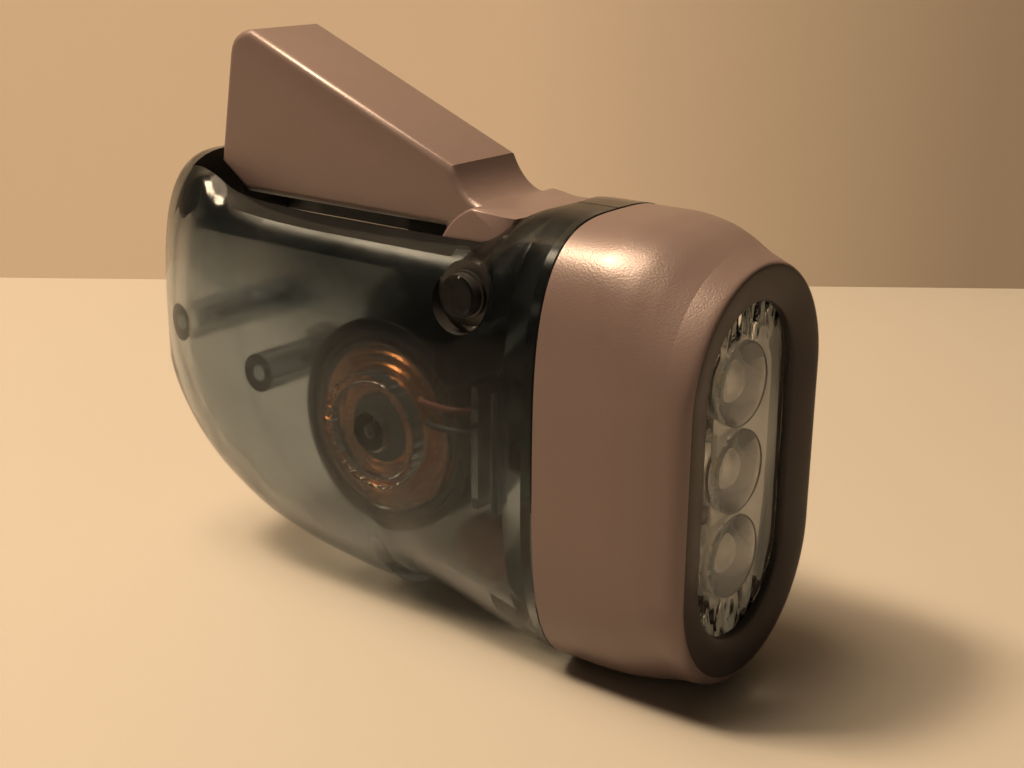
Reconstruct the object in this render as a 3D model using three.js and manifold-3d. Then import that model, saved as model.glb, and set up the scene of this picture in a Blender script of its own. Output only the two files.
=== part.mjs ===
// A squeeze-lever dynamo torch with three lamps, standing on its narrow edge.
// Millimetres. +X is the light end, +Z is up, and the case splits into halves on the Y = 0 plane.
import * as THREE from "three";
import { mergeVertices } from "three/addons/utils/BufferGeometryUtils.js";
import Module from "manifold-3d";

const wasm = await Module();
wasm.setup();

// Driving dimensions: case
const caseLength = 103.5; // rear end to the front of the bezel
const caseHeight = 63.8; // at the joint between shells and head
const caseWidth = 38.6;
const headLength = 22.8; // joint to the front of the bezel
const gripLength = 31.2; // the finger step under the case to the joint
const wall = 1.9;
const seamGap = 0.3; // between pieces that touch
const restFlatDepth = 0.3; // how much of the round underside is cut flat to stand on
const fingerStepHeight = 2.9; // how far the underside steps up in front of the tail
const hornRise = 4.3; // how far the tail's top and the shoulder stand above the lever slot
const slotDrop = 4.2; // from the top at the joint down to the case beside the lever
const overrun = 2; // how far a cut runs past what it cuts

// Driving dimensions: lever slot
const slotWidth = 20.4;
const slotRearInset = 6.2; // from the rear end to the slot
const slotNose = 6.2; // length of the slot's round front end
const cheekThickness = 1.2;
const cheekDepth = 7;

// Driving dimensions: lever
const leverTravel = 21; // degrees, raised to pressed
const leverWidth = 15.4;
const leverWall = 1.9;
const leverRise = 16.3; // top of the raised lever above the bend
const leverPivotInset = 13.6; // from the joint back to the pivot
const leverPivotDrop = 10.9; // from the top at the joint down to the pivot
const leverRearGap = 3.6; // between the lever's rear face and the end of the slot
const leverBendInset = 9.6; // from the pivot back to the bend
const leverBendRise = 15.1; // from the pivot up to the bend
const leverTopShare = 0.855; // where the top line ends, as a share of the reach
const leverSkirtRise = 6.3; // from the pivot up to the lever's lower edge
const hubWidth = 19.6;
const hubRadius = 5.8;
const hubGuardRadius = 11; // round rear of the hub that keeps the slot covered
const hubBore = 2.25;
const pivotPinRadius = 2.0;
const pivotDishRadius = 5.1;
const pivotBossRadius = 4.6;

// Driving dimensions: gears
const sectorModule = 0.8;
const sectorTeeth = 63; // of the full circle
const driverTeeth = 10;
const gearModule = 0.6;
const firstGearTeeth = 33;
const secondPinionTeeth = 10;
const secondGearTeeth = 28;
const rotorPinionTeeth = 8;
const gearThickness = 2.5;
const shaftRadius = 1;
const shaftClearance = 0.06;
const layerGap = 0.6; // between parts that turn side by side
const driverDirection = 210.7; // degrees, from the lever pivot to the first gear shaft

// Driving dimensions: generator
const rotorBack = 16.5; // from the lever pivot back to the rotor
const rotorDrop = 23; // from the lever pivot down to the rotor
const rotorRadius = 16;
const rotorRim = 1.4;
const rotorWallShare = 0.18; // of the half width, between the cup's open end and the left wall
const magnetThickness = 1;
const webThickness = 1.4;
const bobbinFlange = 1;
const bobbinCoreWall = 1.9;
const coilWireRadius = 0.27;
const ringBossRadius = 8.7;
const ringBossWall = 1.4;
const bearingBossRadius = 2.9;

// Driving dimensions: screws and pillars
const pillarRadius = 3;
const rearPillarGap = 6.7; // from the rotor's rim back to the rear pillar's middle
const rearPillarRise = 4.4; // above the rotor's middle
const tailPillarShare = 0.308; // of the way from the rear end to the rear pillar
const tailPillarDrop = 18.5; // from the horn boss down
const frontPillarBack = 1; // from the lever pivot
const frontPillarDrop = 10; // from the lever pivot
const footPillarInset = 6.7; // from the joint
const footPillarHeight = 8.6;
const screwRadius = 0.95;
const screwHeadRadius = 2.1;
const screwHeadHeight = 1.4;
const screwLength = 15;

// Driving dimensions: head, lens and lamps
const bezelDepth = 3.65;
const bezelHalfWidth = 17.95;
const bezelHalfHeight = 29.7;
const bezelCentreHeight = 30.6;
const windowHalfWidth = 11.35;
const windowHalfHeight = 23.65;
const windowCentreHeight = 30.65;
const lensThickness = 1.6;
const lensSetback = 2.4; // from the front of the bezel to the lens plate
const lampPitch = 12.4;
const domeRadius = 5.95;
const domeRise = 1.7;
const barrelLength = 7.6;
const barrelEndRadius = 3.9;
const lampRadius = 2.5;
const lampFlangeRadius = 2.9;
const lampFlange = 1;
const lampLength = 8.2;
const lampClearance = 0.35;
const boardThickness = 1.6;
const collarLength = 4;
const collarWall = 1.5;

// Driving dimensions: circuit
const circuitInset = 9.4; // from the joint back to the circuit board
const circuitWidth = 26;
const circuitHeight = 20;
const circuitFoot = 22; // lower edge of the board above the ground
const cellRadius = 5.6;
const cellLength = 15;
const leadRadius = 0.55;

// Driving dimensions: lever spring
const springWire = 0.42;
const springRadius = 4.6; // of the curls' middle line
const springTurns = 2.75;
const springPitch = 1.35;
const springStart = 2.1; // from the middle to the spring's first curl
const springLegReach = 11.2; // from the coil out to the bent tip
const springLegDrop = 11.6; // from the pivot down to the tip that leans on a pillar

// Driving dimensions: bosses and ribs in the shells
const hornBossInset = 8;
const hornBossDrop = 6.9;
const hornBossRadius = 2.4;
const shaftBossRadius = 2.4;
const bearingBossEnd = 9.6; // from the middle to the tip of the rotor's bearing boss
const ribThickness = 1.2;
const ribGrip = 1.2;
const cradleShare = 0.34; // of the cell's length, from the middle to its cradle ribs
const dishFloorShare = 0.81;
const screwSeatShare = 0.28;
const plateShoulder = 0.7; // how far a pillar's shoulder stands out under the gear plate
const pinClearance = 0.15;
const pinStandOut = 0.4;

// Driving dimensions: places of the inner pieces
const cellInset = 3; // from the pivot back to the cell
const cellHeight = 11.1;
const platePosition = 2;
const plateThickness = 1.6;
const shaftEndInset = 2.8; // from the right wall to the shafts' ends
const rotorShaftInset = 0.8; // from the left wall to the rotor shaft's end

// Driving dimensions: bezel, lens and lamp board
const bezelRound = 1.6;
const lensLap = 1.4; // how far the bezel holds the lens all round
const lampBoardHalfWidth = 8.6;
const lampBoardGap = 3.4; // between the lamp board and the lens barrels
const lampPocket = 5.6;

// Driving dimensions: lever outline
const noseStart = 0.8; // from the pivot to where the slot's round end starts
const noseClearance = 0.4;
const leverHeel = 4.3; // how far the lever's rear lower corner is cut back
const leverRampDrop = 5; // bend down to the flat top of the hub
const leverRampLength = 5.4;
const hubShoulderDrop = 3.2;
const sectorLead = 5; // degrees of teeth kept past the mesh
const sectorRootAngle = 150; // degrees, where the plate behind the teeth joins the lever

// Driving dimensions: ratchet, plate, winding and circuit pieces
const ratchetTeeth = 12;
const ratchetRadius = 6.4;
const ratchetRise = 0.9;
const ratchetDepth = 1.8;
const pawlCount = 3;
const pawlHubRadius = 2.4;
const pawlGap = 0.3; // between a finger's tip and the saw teeth
const plateEarRadius = 4.6;
const plateEyeRadius = 3.3;
const plateStrap = 2; // half width of the plate's straps
const rotorWebInset = 4.2; // from the middle to the rotor cup's closed side
const bobbinCore = 3.3; // bore radius of the bobbin
const bobbinOverhang = 0.6; // how far the bobbin stands out of the cup
const coilSetback = 1.3; // from the flange's edge in to the core that the loops go round
const coilLift = 0.15; // between that core and the loops
const coilPitch = 0.96;
const coilLeadRise = 3.05;
const coilLeadReach = 8.1;
const capacitorRadius = 2.5;
const capacitorLength = 7;
const diodeRadius = 1.3;
const diodeLength = 5;
const curlSteps = 8; // of the spring
const loopSteps = 24; // of the winding

// Tooth form, as shares of the module and of the tooth pitch
const tipShare = 0.8;
const rootShare = 1.1;
const toothFootShare = 0.3;
const toothTipShare = 0.11;

// Counts that set how smooth the round forms are
const fullTurn = 360; // degrees
const ringPoints = 24;
const roundSides = 20;
const smallSides = 10;

// Places that follow from the dimensions
const frontX = caseLength / 2;
const rearX = -frontX;
const jointX = frontX - headLength;
const half = caseWidth / 2;
const innerWall = half - wall;
const tailLength = caseLength - headLength - gripLength; // rear end to the finger step
const slotFloorHeight = caseHeight - slotDrop;
const slotHalf = slotWidth / 2;
const pivot = { x: jointX - leverPivotInset, z: caseHeight - leverPivotDrop };
const leverReach = pivot.x - rearX - slotRearInset - leverRearGap; // pivot to the lever's rear face
const rotor = { x: pivot.x - rotorBack, z: pivot.z - rotorDrop };
const rotorWallGap = half * rotorWallShare;
const ringBossHeight = rotorWallGap - bobbinOverhang - seamGap;
const magnetOuter = rotorRadius - rotorRim - seamGap;
const magnetInner = magnetOuter - magnetThickness;
const bobbinRadius = magnetInner - layerGap;
const coilCoreRadius = bobbinRadius - coilSetback;
const coilWireCentre = coilCoreRadius + coilWireRadius + coilLift;
const shaftEnd = innerWall - shaftEndInset;
const rotorShaftStart = innerWall - rotorShaftInset;
const horn = { x: rearX + hornBossInset, z: caseHeight - hornBossDrop };
const rearPillar = {
  name: "rear",
  x: rotor.x - rotorRadius - rearPillarGap,
  z: rotor.z + rearPillarRise,
};
const tailPillar = {
  name: "tail",
  x: rearX + (rearPillar.x - rearX) * tailPillarShare,
  z: horn.z - tailPillarDrop,
};
const frontPillar = { name: "front", x: pivot.x - frontPillarBack, z: pivot.z - frontPillarDrop };
const footPillar = { name: "foot", x: jointX - footPillarInset, z: footPillarHeight };
const pillars = [rearPillar, tailPillar, frontPillar, footPillar];
const platePillars = [rearPillar, frontPillar];

const smoky = new THREE.MeshStandardMaterial({
  color: 0x46545a,
  roughness: 0.18,
  metalness: 0,
  transparent: true,
  opacity: 0.55,
});
const taupe = new THREE.MeshStandardMaterial({ color: 0x76605a, roughness: 0.45, metalness: 0.35 });
const darkBrown = new THREE.MeshStandardMaterial({ color: 0x3a2e2a, roughness: 0.4, metalness: 0.1 });
const clear = new THREE.MeshStandardMaterial({
  color: 0xe8ecec,
  roughness: 0.05,
  metalness: 0,
  transparent: true,
  opacity: 0.4,
});
const steel = new THREE.MeshStandardMaterial({ color: 0xa8a8a6, roughness: 0.3, metalness: 1 });
const ferrite = new THREE.MeshStandardMaterial({ color: 0x2b2b2d, roughness: 0.7, metalness: 0.2 });
const copper = new THREE.MeshStandardMaterial({ color: 0xb5622f, roughness: 0.35, metalness: 0.9 });
const nylon = new THREE.MeshStandardMaterial({ color: 0xd9d5c8, roughness: 0.5, metalness: 0 });
const blackPlastic = new THREE.MeshStandardMaterial({ color: 0x1c1c1e, roughness: 0.45, metalness: 0 });
const boardGreen = new THREE.MeshStandardMaterial({ color: 0x2f5a3a, roughness: 0.5, metalness: 0 });
const brass = new THREE.MeshStandardMaterial({ color: 0xb8923f, roughness: 0.35, metalness: 0.9 });
const cellGreen = new THREE.MeshStandardMaterial({ color: 0x3d6b46, roughness: 0.4, metalness: 0 });
const leadRed = new THREE.MeshStandardMaterial({ color: 0x8c2a22, roughness: 0.5, metalness: 0 });
const leadBlack = new THREE.MeshStandardMaterial({ color: 0x1b1b1b, roughness: 0.5, metalness: 0 });
const lampClear = new THREE.MeshStandardMaterial({ color: 0xf2f0e4, roughness: 0.1, metalness: 0 });

// A closed three.js geometry as a solid that can be joined and cut.
function solid(geometry) {
  const bare = new THREE.BufferGeometry();
  const source = geometry.index ? geometry.toNonIndexed() : geometry;
  bare.setAttribute("position", source.getAttribute("position"));
  const merged = mergeVertices(bare, 1e-4);
  return new wasm.Manifold(
    new wasm.Mesh({
      numProp: 3,
      vertProperties: merged.attributes.position.array,
      triVerts: new Uint32Array(merged.index.array),
    }),
  );
}

// A solid as a three.js geometry with flat faces.
function geometryOf(body) {
  const mesh = body.getMesh();
  const points = new Float32Array(mesh.numVert * 3);
  for (let i = 0; i < mesh.numVert; i++) {
    points.set(mesh.vertProperties.subarray(i * mesh.numProp, i * mesh.numProp + 3), i * 3);
  }
  const geometry = new THREE.BufferGeometry();
  geometry.setAttribute("position", new THREE.BufferAttribute(points, 3));
  geometry.setIndex(new THREE.BufferAttribute(new Uint32Array(mesh.triVerts), 1));
  geometry.computeVertexNormals();
  return geometry;
}

function joined(...bodies) {
  return bodies.reduce((sum, body) => sum.add(body));
}

// A box between two corners.
function block(low, high) {
  const size = high.map((value, i) => value - low[i]);
  const box = new THREE.BoxGeometry(...size);
  box.translate(...low.map((value, i) => value + size[i] / 2));
  return solid(box);
}

// A rod along Y.
function rod(place, radius, fromY, toY, sides = roundSides, endRadius = radius) {
  const bar = new THREE.CylinderGeometry(endRadius, radius, toY - fromY, sides);
  bar.translate(place.x, (fromY + toY) / 2, place.z);
  return solid(bar);
}

// A round tube along Y.
function tube(place, radius, bore, fromY, toY, sides = roundSides) {
  return rod(place, radius, fromY, toY, sides).subtract(
    rod(place, bore, fromY - overrun, toY + overrun, sides),
  );
}

// A flat shape drawn in X and Z, given thickness along Y.
function slab(shape, fromY, toY, curveSegments = smallSides) {
  const plate = new THREE.ExtrudeGeometry(shape, {
    depth: toY - fromY,
    bevelEnabled: false,
    curveSegments,
  });
  plate.rotateX(Math.PI / 2);
  plate.translate(0, toY, 0);
  return solid(plate);
}

const towardX = new THREE.Matrix4().set(0, 0, 1, 0, 1, 0, 0, 0, 0, 1, 0, 0, 0, 0, 0, 1);

// A flat shape drawn in Y and Z, given thickness along X.
function panel(shape, fromX, toX, curveSegments = smallSides) {
  const plate = new THREE.ExtrudeGeometry(shape, {
    depth: toX - fromX,
    bevelEnabled: false,
    curveSegments,
  });
  plate.applyMatrix4(towardX);
  plate.translate(fromX, 0, 0);
  return solid(plate);
}

// A profile of [radius, distance] pairs turned round an axis along X.
function turnedAlongX(profile, y, z, fromX, sides = roundSides) {
  const points = profile.map(([radius, along]) => new THREE.Vector2(radius, along));
  const turned = new THREE.LatheGeometry(points, sides);
  turned.rotateZ(-Math.PI / 2);
  turned.translate(fromX, y, z);
  return solid(turned);
}

// A profile of [radius, Y] pairs turned round an axis along Y.
function turnedAlongY(profile, place, sides = roundSides) {
  const points = profile.map(([radius, y]) => new THREE.Vector2(radius, y));
  const turned = new THREE.LatheGeometry(points, sides);
  turned.translate(place.x, 0, place.z);
  return solid(turned);
}

// A closed outline through points in X and Z.
function outlined(points) {
  const shape = new THREE.Shape();
  points.forEach((point, i) => {
    if (i === 0) shape.moveTo(point.x, point.z);
    else shape.lineTo(point.x, point.z);
  });
  shape.closePath();
  return shape;
}

function stadium(halfWidth, halfHeight, centreHeight) {
  const shape = new THREE.Shape();
  const straight = halfHeight - halfWidth;
  shape.absarc(0, centreHeight + straight, halfWidth, 0, Math.PI, false);
  shape.absarc(0, centreHeight - straight, halfWidth, Math.PI, Math.PI * 2, false);
  shape.closePath();
  return shape;
}

// One ring of the case in a plane across X. Power 2 is an ellipse, and a higher power is squarer.
function caseRing({ x, side, bottom, top, bottomPower, topPower, roundShare }, inset = 0) {
  const ring = [];
  const centre = (caseHeight / 2) * (1 - roundShare) + ((top + bottom) / 2) * roundShare;
  const middle = Math.min(Math.max(centre, bottom + side * 0.4), top - side * 0.4);
  const width = side - inset;
  for (let i = 0; i < ringPoints; i++) {
    const turn = (i / ringPoints) * Math.PI * 2;
    const up = Math.sin(turn);
    const out = Math.cos(turn);
    const power = up > 0 ? topPower : bottomPower;
    const reach = (up > 0 ? top - middle : middle - bottom) - inset;
    const square = [
      width * Math.sign(out) * Math.abs(out) ** (2 / power),
      middle + reach * Math.sign(up) * Math.abs(up) ** (2 / power),
    ];
    const round = [width * out, middle + Math.sign(up) * (reach - width) + width * up];
    const y = square[0] * (1 - roundShare) + round[0] * roundShare;
    const z = square[1] * (1 - roundShare) + round[1] * roundShare;
    ring.push([x, y, z]);
  }
  return ring;
}

// A closed skin over a row of rings.
function loft(rings) {
  const count = rings[0].length;
  const points = rings.flat();
  const faces = [];
  for (let r = 0; r + 1 < rings.length; r++) {
    for (let i = 0; i < count; i++) {
      const a = r * count + i;
      const b = r * count + ((i + 1) % count);
      faces.push(a, b + count, a + count, a, b, b + count);
    }
  }
  for (const [start, ahead] of [[0, false], [(rings.length - 1) * count, true]]) {
    const ring = points.slice(start, start + count);
    const middle = points.length;
    points.push([0, 1, 2].map((axis) => ring.reduce((sum, p) => sum + p[axis], 0) / count));
    for (let i = 0; i < count; i++) {
      const a = start + i;
      const b = start + ((i + 1) % count);
      faces.push(...(ahead ? [middle, a, b] : [middle, b, a]));
    }
  }
  const geometry = new THREE.BufferGeometry();
  geometry.setAttribute("position", new THREE.Float32BufferAttribute(points.flat(), 3));
  geometry.setIndex(faces);
  return solid(geometry);
}

// Stations along the shells: x, underside, top and half width, as shares of the sizes they follow.
const tailShares = [
  { along: 0, bottom: 0.6, top: 0.945, side: 0.53 },
  { along: 0.023, bottom: 0.494, top: 0.985, side: 0.67 },
  { along: 0.065, bottom: 0.395, top: 1.01, side: 0.775 },
  { along: 0.135, bottom: 0.275, top: 1.016, side: 0.87 },
  { along: 0.23, bottom: 0.178, top: 0.993, side: 0.945 },
  { along: 0.33, bottom: 0.115, top: 0.954, side: 0.98 },
  { along: 0.48, bottom: 0.056, top: 0.939, side: 1 },
  { along: 0.7, bottom: 0.017, top: 0.934, side: 1 },
  { along: 0.985, bottom: 0, top: 0.934, side: 1 },
];
const frontShares = [
  { along: 0.014, bottom: 0.65, top: 0 },
  { along: 0.14, bottom: 0.93, top: 0 },
  { along: 0.5, bottom: 0.55, top: 0.05 },
  { along: 0.585, bottom: 0.42, top: 0.32 },
  { along: 0.66, bottom: 0.3, top: 0.7 },
  { along: 0.74, bottom: 0.18, top: 0.96 },
  { along: 0.82, bottom: 0.08, top: 1 },
  { along: 1, bottom: 0, top: 1 },
];
const shellPower = 3.3;
const tailPower = 2.3;

const stepX = rearX + tailLength;
const shellStations = [
  ...tailShares.map((share) => ({
    x: rearX + share.along * tailLength,
    side: share.side * half,
    bottom: share.bottom * caseHeight - restFlatDepth,
    top: share.top * caseHeight,
    bottomPower: tailPower,
    topPower: shellPower,
    roundShare: 0,
  })),
  ...frontShares.map((share) => ({
    x: stepX + share.along * (jointX - stepX),
    side: half,
    bottom: share.bottom * fingerStepHeight - restFlatDepth,
    top: slotFloorHeight + share.top * hornRise,
    bottomPower: tailPower + (shellPower - tailPower) * share.along,
    topPower: shellPower,
    roundShare: 0,
  })),
];

// The hollow of the shells: the same stations, drawn in by the wall.
function hollowStations(stations, fromX, toX) {
  const first = stations[0].x;
  const last = stations[stations.length - 1].x;
  return stations.map((station) => ({
    ...station,
    x: fromX + ((station.x - first) / (last - first)) * (toX - fromX),
  }));
}

const ground = block(
  [rearX * 2, -caseWidth, -caseHeight],
  [frontX * 2, caseWidth, 0],
);

const shellOuter = loft(shellStations.map((station) => caseRing(station))).subtract(ground);
const shellHollow = loft(
  hollowStations(shellStations, rearX + wall, jointX + overrun).map((station) => caseRing(station, wall)),
);

// The collar that carries the head runs forward from the shells, inside the head's wall.
const jointStation = shellStations[shellStations.length - 1];
const collarInset = wall + seamGap;

function jointSleeve(fromX, toX, outerInset, innerInset) {
  const station = { ...jointStation, bottom: 0 };
  const skin = loft([fromX, toX].map((x) => caseRing({ ...station, x }, outerInset)));
  const bore = loft(
    [fromX - overrun, toX + overrun].map((x) => caseRing({ ...station, x }, innerInset)),
  );
  return skin.subtract(bore);
}

const collar = joined(
  jointSleeve(jointX - collarLength, jointX - seamGap, wall / 2, collarInset + collarWall),
  jointSleeve(jointX - collarLength, jointX + collarLength, collarInset, collarInset + collarWall),
);

const parts = new THREE.Group();

function add(name, body, material) {
  const mesh = new THREE.Mesh(geometryOf(body), material);
  mesh.name = name;
  parts.add(mesh);
}

// The slot that the lever drops into, with a round front end.
function slotShape(extra) {
  const shape = new THREE.Shape();
  const straightEnd = pivot.x + noseStart;
  shape.moveTo(rearX + slotRearInset - extra, -slotHalf - extra);
  shape.lineTo(straightEnd, -slotHalf - extra);
  shape.absellipse(straightEnd, 0, slotNose + extra, slotHalf + extra, -Math.PI / 2, Math.PI / 2, false);
  shape.lineTo(rearX + slotRearInset - extra, slotHalf + extra);
  shape.closePath();
  return shape;
}

function upright(shape, fromZ, toZ) {
  const plug = new THREE.ExtrudeGeometry(shape, {
    depth: toZ - fromZ,
    bevelEnabled: false,
    curveSegments: smallSides,
  });
  plug.translate(0, 0, fromZ);
  return solid(plug);
}

const cheekFoot = slotFloorHeight - cheekDepth;
const slotCut = upright(slotShape(0), cheekFoot - overrun, caseHeight + overrun * 2);
const cheekRing = upright(slotShape(cheekThickness), cheekFoot, caseHeight + overrun)
  .subtract(slotCut)
  .subtract(block([pivot.x - hubRadius, -half, 0], [frontX, half, caseHeight * 2]))
  .intersect(shellOuter);

// Shell halves with their bosses, pillars and ribs.
const seam = seamGap / 2;
const wide = half + overrun;

// Both halves are drawn on the +Y side; side -1 mirrors what belongs to the left half.
function across(side, fromY, toY) {
  return side > 0 ? [fromY, toY] : [-toY, -fromY];
}

const dishFloor = dishFloorShare * half;
const hubHalf = hubWidth / 2;
const screwSeat = screwSeatShare * half;
const plateFace = -platePosition - plateThickness;
const sectorHalf = gearThickness / 2;
const layerTwo = sectorHalf + layerGap; // first gear and the pinion that it drives
const layerThree = layerTwo + gearThickness + layerGap; // second gear and rotor pinion
const layerEnd = layerThree + gearThickness;

function polar(centre, degrees, distance) {
  const angle = THREE.MathUtils.degToRad(degrees);
  return { x: centre.x + distance * Math.cos(angle), z: centre.z + distance * Math.sin(angle) };
}

function degreesBetween(from, to) {
  return THREE.MathUtils.radToDeg(Math.atan2(to.z - from.z, to.x - from.x));
}

const sectorPitch = (sectorModule * sectorTeeth) / 2;
const driverPitch = (sectorModule * driverTeeth) / 2;
const firstShaft = polar(pivot, driverDirection, sectorPitch + driverPitch);
const firstPitch = (gearModule * firstGearTeeth) / 2;
const secondPinionPitch = (gearModule * secondPinionTeeth) / 2;
const secondPitch = (gearModule * secondGearTeeth) / 2;
const rotorPinionPitch = (gearModule * rotorPinionTeeth) / 2;

// The second shaft sits where both of its meshes close.
function meshPoint(a, b, fromA, fromB) {
  const span = Math.hypot(b.x - a.x, b.z - a.z);
  const along = (fromA ** 2 - fromB ** 2 + span ** 2) / (2 * span);
  const off = Math.sqrt(fromA ** 2 - along ** 2);
  const ux = (b.x - a.x) / span;
  const uz = (b.z - a.z) / span;
  return { x: a.x + along * ux + off * uz, z: a.z + along * uz - off * ux };
}
const secondShaft = meshPoint(
  firstShaft,
  rotor,
  firstPitch + secondPinionPitch,
  secondPitch + rotorPinionPitch,
);

const bearing = shaftRadius + shaftClearance;
const boardX = jointX - circuitInset;
const cell = { x: pivot.x - cellInset, z: cellHeight };

function shellHalf(side) {
  const [keep0, keep1] = across(side, seam, wide);
  const keep = block(
    [rearX - overrun, keep0, -overrun],
    [frontX, keep1, caseHeight * 2],
  );
  const skin = joined(
    shellOuter.subtract(shellHollow).subtract(slotCut),
    collar,
    cheekRing,
  ).intersect(keep);

  const inside = [
    rod(pivot, pivotBossRadius, ...across(side, hubHalf + seamGap, wide)),
    ...pillars.map((pillar) => rod(pillar, pillarRadius, ...across(side, seam, wide), smallSides)),
    rod(horn, hornBossRadius, ...across(side, slotHalf + cheekThickness / 2, wide), smallSides),
  ];
  for (const x of [boardX - seamGap - ribThickness, boardX + boardThickness + seamGap]) {
    const [y0, y1] = across(side, circuitWidth / 2 - ribGrip, wide);
    inside.push(
      block([x, y0, circuitFoot + ribGrip], [x + ribThickness, y1, circuitFoot + circuitHeight - ribGrip]),
    );
  }
  const [c0, c1] = across(side, cellLength * cradleShare, cellLength * cradleShare + ribThickness);
  inside.push(
    block([cell.x - cellRadius, c0, 0], [cell.x + cellRadius, c1, cell.z]).subtract(
      rod(cell, cellRadius + seamGap, c0 - overrun, c1 + overrun),
    ),
  );
  if (side > 0) {
    const firstEnd = layerTwo + gearThickness + seamGap;
    inside.push(rod(firstShaft, shaftBossRadius, firstEnd, wide, smallSides));
    inside.push(rod(secondShaft, shaftBossRadius, layerEnd + seamGap, wide, smallSides));
    inside.push(rod(rotor, shaftBossRadius, layerEnd + seamGap, wide, smallSides));
  } else {
    inside.push(
      tube(rotor, ringBossRadius, ringBossRadius - ringBossWall, -wide, -innerWall + ringBossHeight, 24),
    );
    inside.push(rod(rotor, bearingBossRadius, -wide, -bearingBossEnd, smallSides));
    for (const pillar of platePillars) {
      const shoulder = pillarRadius + plateShoulder;
      inside.push(rod(pillar, shoulder, -wide, plateFace - seamGap, smallSides));
    }
  }
  let body = skin.add(joined(...inside).intersect(shellOuter));

  const [dish0, dish1] = across(side, dishFloor, wide + overrun);
  body = body.subtract(rod(pivot, pivotDishRadius, dish0, dish1, 24));
  const [bore0, bore1] = across(side, 0, wide);
  body = body.subtract(rod(pivot, pivotPinRadius + pinClearance, bore0, bore1));
  if (side > 0) {
    for (const pillar of pillars) {
      body = body.subtract(rod(pillar, screwRadius + pinClearance, 0, wide, smallSides));
      body = body.subtract(rod(pillar, screwHeadRadius + pinClearance, screwSeat, wide, smallSides));
    }
    for (const place of [firstShaft, secondShaft, rotor]) {
      body = body.subtract(rod(place, bearing, 0, shaftEnd + seamGap));
    }
  } else {
    for (const pillar of pillars) {
      body = body.subtract(
        rod(pillar, screwRadius + pinClearance, screwSeat - screwLength - seamGap, 0, smallSides),
      );
    }
    body = body.subtract(rod(rotor, bearing, -rotorShaftStart - seamGap, 0));
  }
  return body;
}

add("left_shell", shellHalf(-1), smoky);
add("right_shell", shellHalf(1), smoky);

// Screws that pull the halves together, driven from the right.
for (const pillar of pillars) {
  add(
    `${pillar.name}_screw`,
    turnedAlongY(
      [
        [0, screwSeat - screwLength],
        [screwRadius * 0.5, screwSeat - screwLength],
        [screwRadius, screwSeat - screwLength + screwRadius * 2],
        [screwRadius, screwSeat + seamGap],
        [screwHeadRadius, screwSeat + seamGap],
        [screwHeadRadius, screwSeat + seamGap + screwHeadHeight * 0.5],
        [screwHeadRadius * 0.75, screwSeat + seamGap + screwHeadHeight],
        [0, screwSeat + seamGap + screwHeadHeight],
      ],
      pillar,
      smallSides,
    ),
    steel,
  );
}

// Head housing
const bezelX = frontX - bezelDepth;
const housingStart = jointX + seamGap;
const housingEnd = bezelX - seamGap;
const headShares = [
  { along: 0, top: 1, side: 1, bottom: 0, round: 0 },
  { along: 0.36, top: 1, side: 1, bottom: 0, round: 0.04 },
  { along: 0.62, top: 0.994, side: 0.997, bottom: 0, round: 0.2 },
  { along: 0.8, top: 0.983, side: 0.985, bottom: 0.1, round: 0.5 },
  { along: 0.92, top: 0.971, side: 0.97, bottom: 0.4, round: 0.8 },
  { along: 1, top: 0.957, side: 0.953, bottom: 0.9, round: 1 },
];
const bezelFoot = bezelCentreHeight - bezelHalfHeight;
const headStations = headShares.map((share) => ({
  x: housingStart + share.along * (housingEnd - housingStart),
  side: share.side * half,
  bottom: share.bottom * bezelFoot - restFlatDepth,
  top: share.top * caseHeight,
  bottomPower: shellPower,
  topPower: shellPower,
  roundShare: share.round,
}));
const lensBack = frontX - lensSetback - lensThickness;
const barrelEnd = lensBack - barrelLength;
const lampBoardX = barrelEnd - lampBoardGap - boardThickness;
const lampRows = [-1, 0, 1].map((row) => windowCentreHeight + row * lampPitch);

function headHousing() {
  const outer = loft(headStations.map((station) => caseRing(station))).subtract(ground);
  const hollow = loft(
    hollowStations(headStations, housingStart - overrun, housingEnd - wall).map((station) =>
      caseRing({ ...station, bottom: station.bottom + restFlatDepth }, wall),
    ),
  );
  const opening = panel(
    stadium(windowHalfWidth + lensLap, windowHalfHeight + lensLap, windowCentreHeight),
    housingEnd - wall * 2,
    frontX,
  );
  let body = outer.subtract(hollow);
  for (const side of [-1, 1]) {
    for (const x of [lampBoardX - seamGap - ribThickness, lampBoardX + boardThickness + seamGap]) {
      const [y0, y1] = across(side, lampBoardHalfWidth - ribGrip, half);
      const rib = block(
        [x, y0, windowCentreHeight - lampPitch],
        [x + ribThickness, y1, windowCentreHeight + lampPitch],
      );
      body = body.add(rib.intersect(outer));
    }
  }
  return body.subtract(opening);
}
add("head_housing", headHousing(), taupe);

// Bezel: a rounded ring whose rear rebate holds the lens
function bezelRing() {
  const shares = [
    { x: bezelX, inset: 0 },
    { x: frontX - bezelRound, inset: 0 },
    { x: frontX - bezelRound * 0.3, inset: bezelRound * 0.3 },
    { x: frontX, inset: bezelRound },
  ];
  const ring = loft(
    shares.map(({ x, inset }) =>
      caseRing(
        {
          x,
          side: bezelHalfWidth,
          bottom: bezelFoot,
          top: bezelCentreHeight + bezelHalfHeight,
          bottomPower: 2,
          topPower: 2,
          roundShare: 1,
        },
        inset,
      ),
    ),
  );
  const window = panel(
    stadium(windowHalfWidth, windowHalfHeight, windowCentreHeight),
    bezelX - overrun,
    frontX + overrun,
  );
  const rebate = panel(
    stadium(windowHalfWidth + lensLap, windowHalfHeight + lensLap, windowCentreHeight),
    bezelX - overrun,
    frontX - lensSetback + seamGap,
  );
  return ring.subtract(window).subtract(rebate);
}
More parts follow.
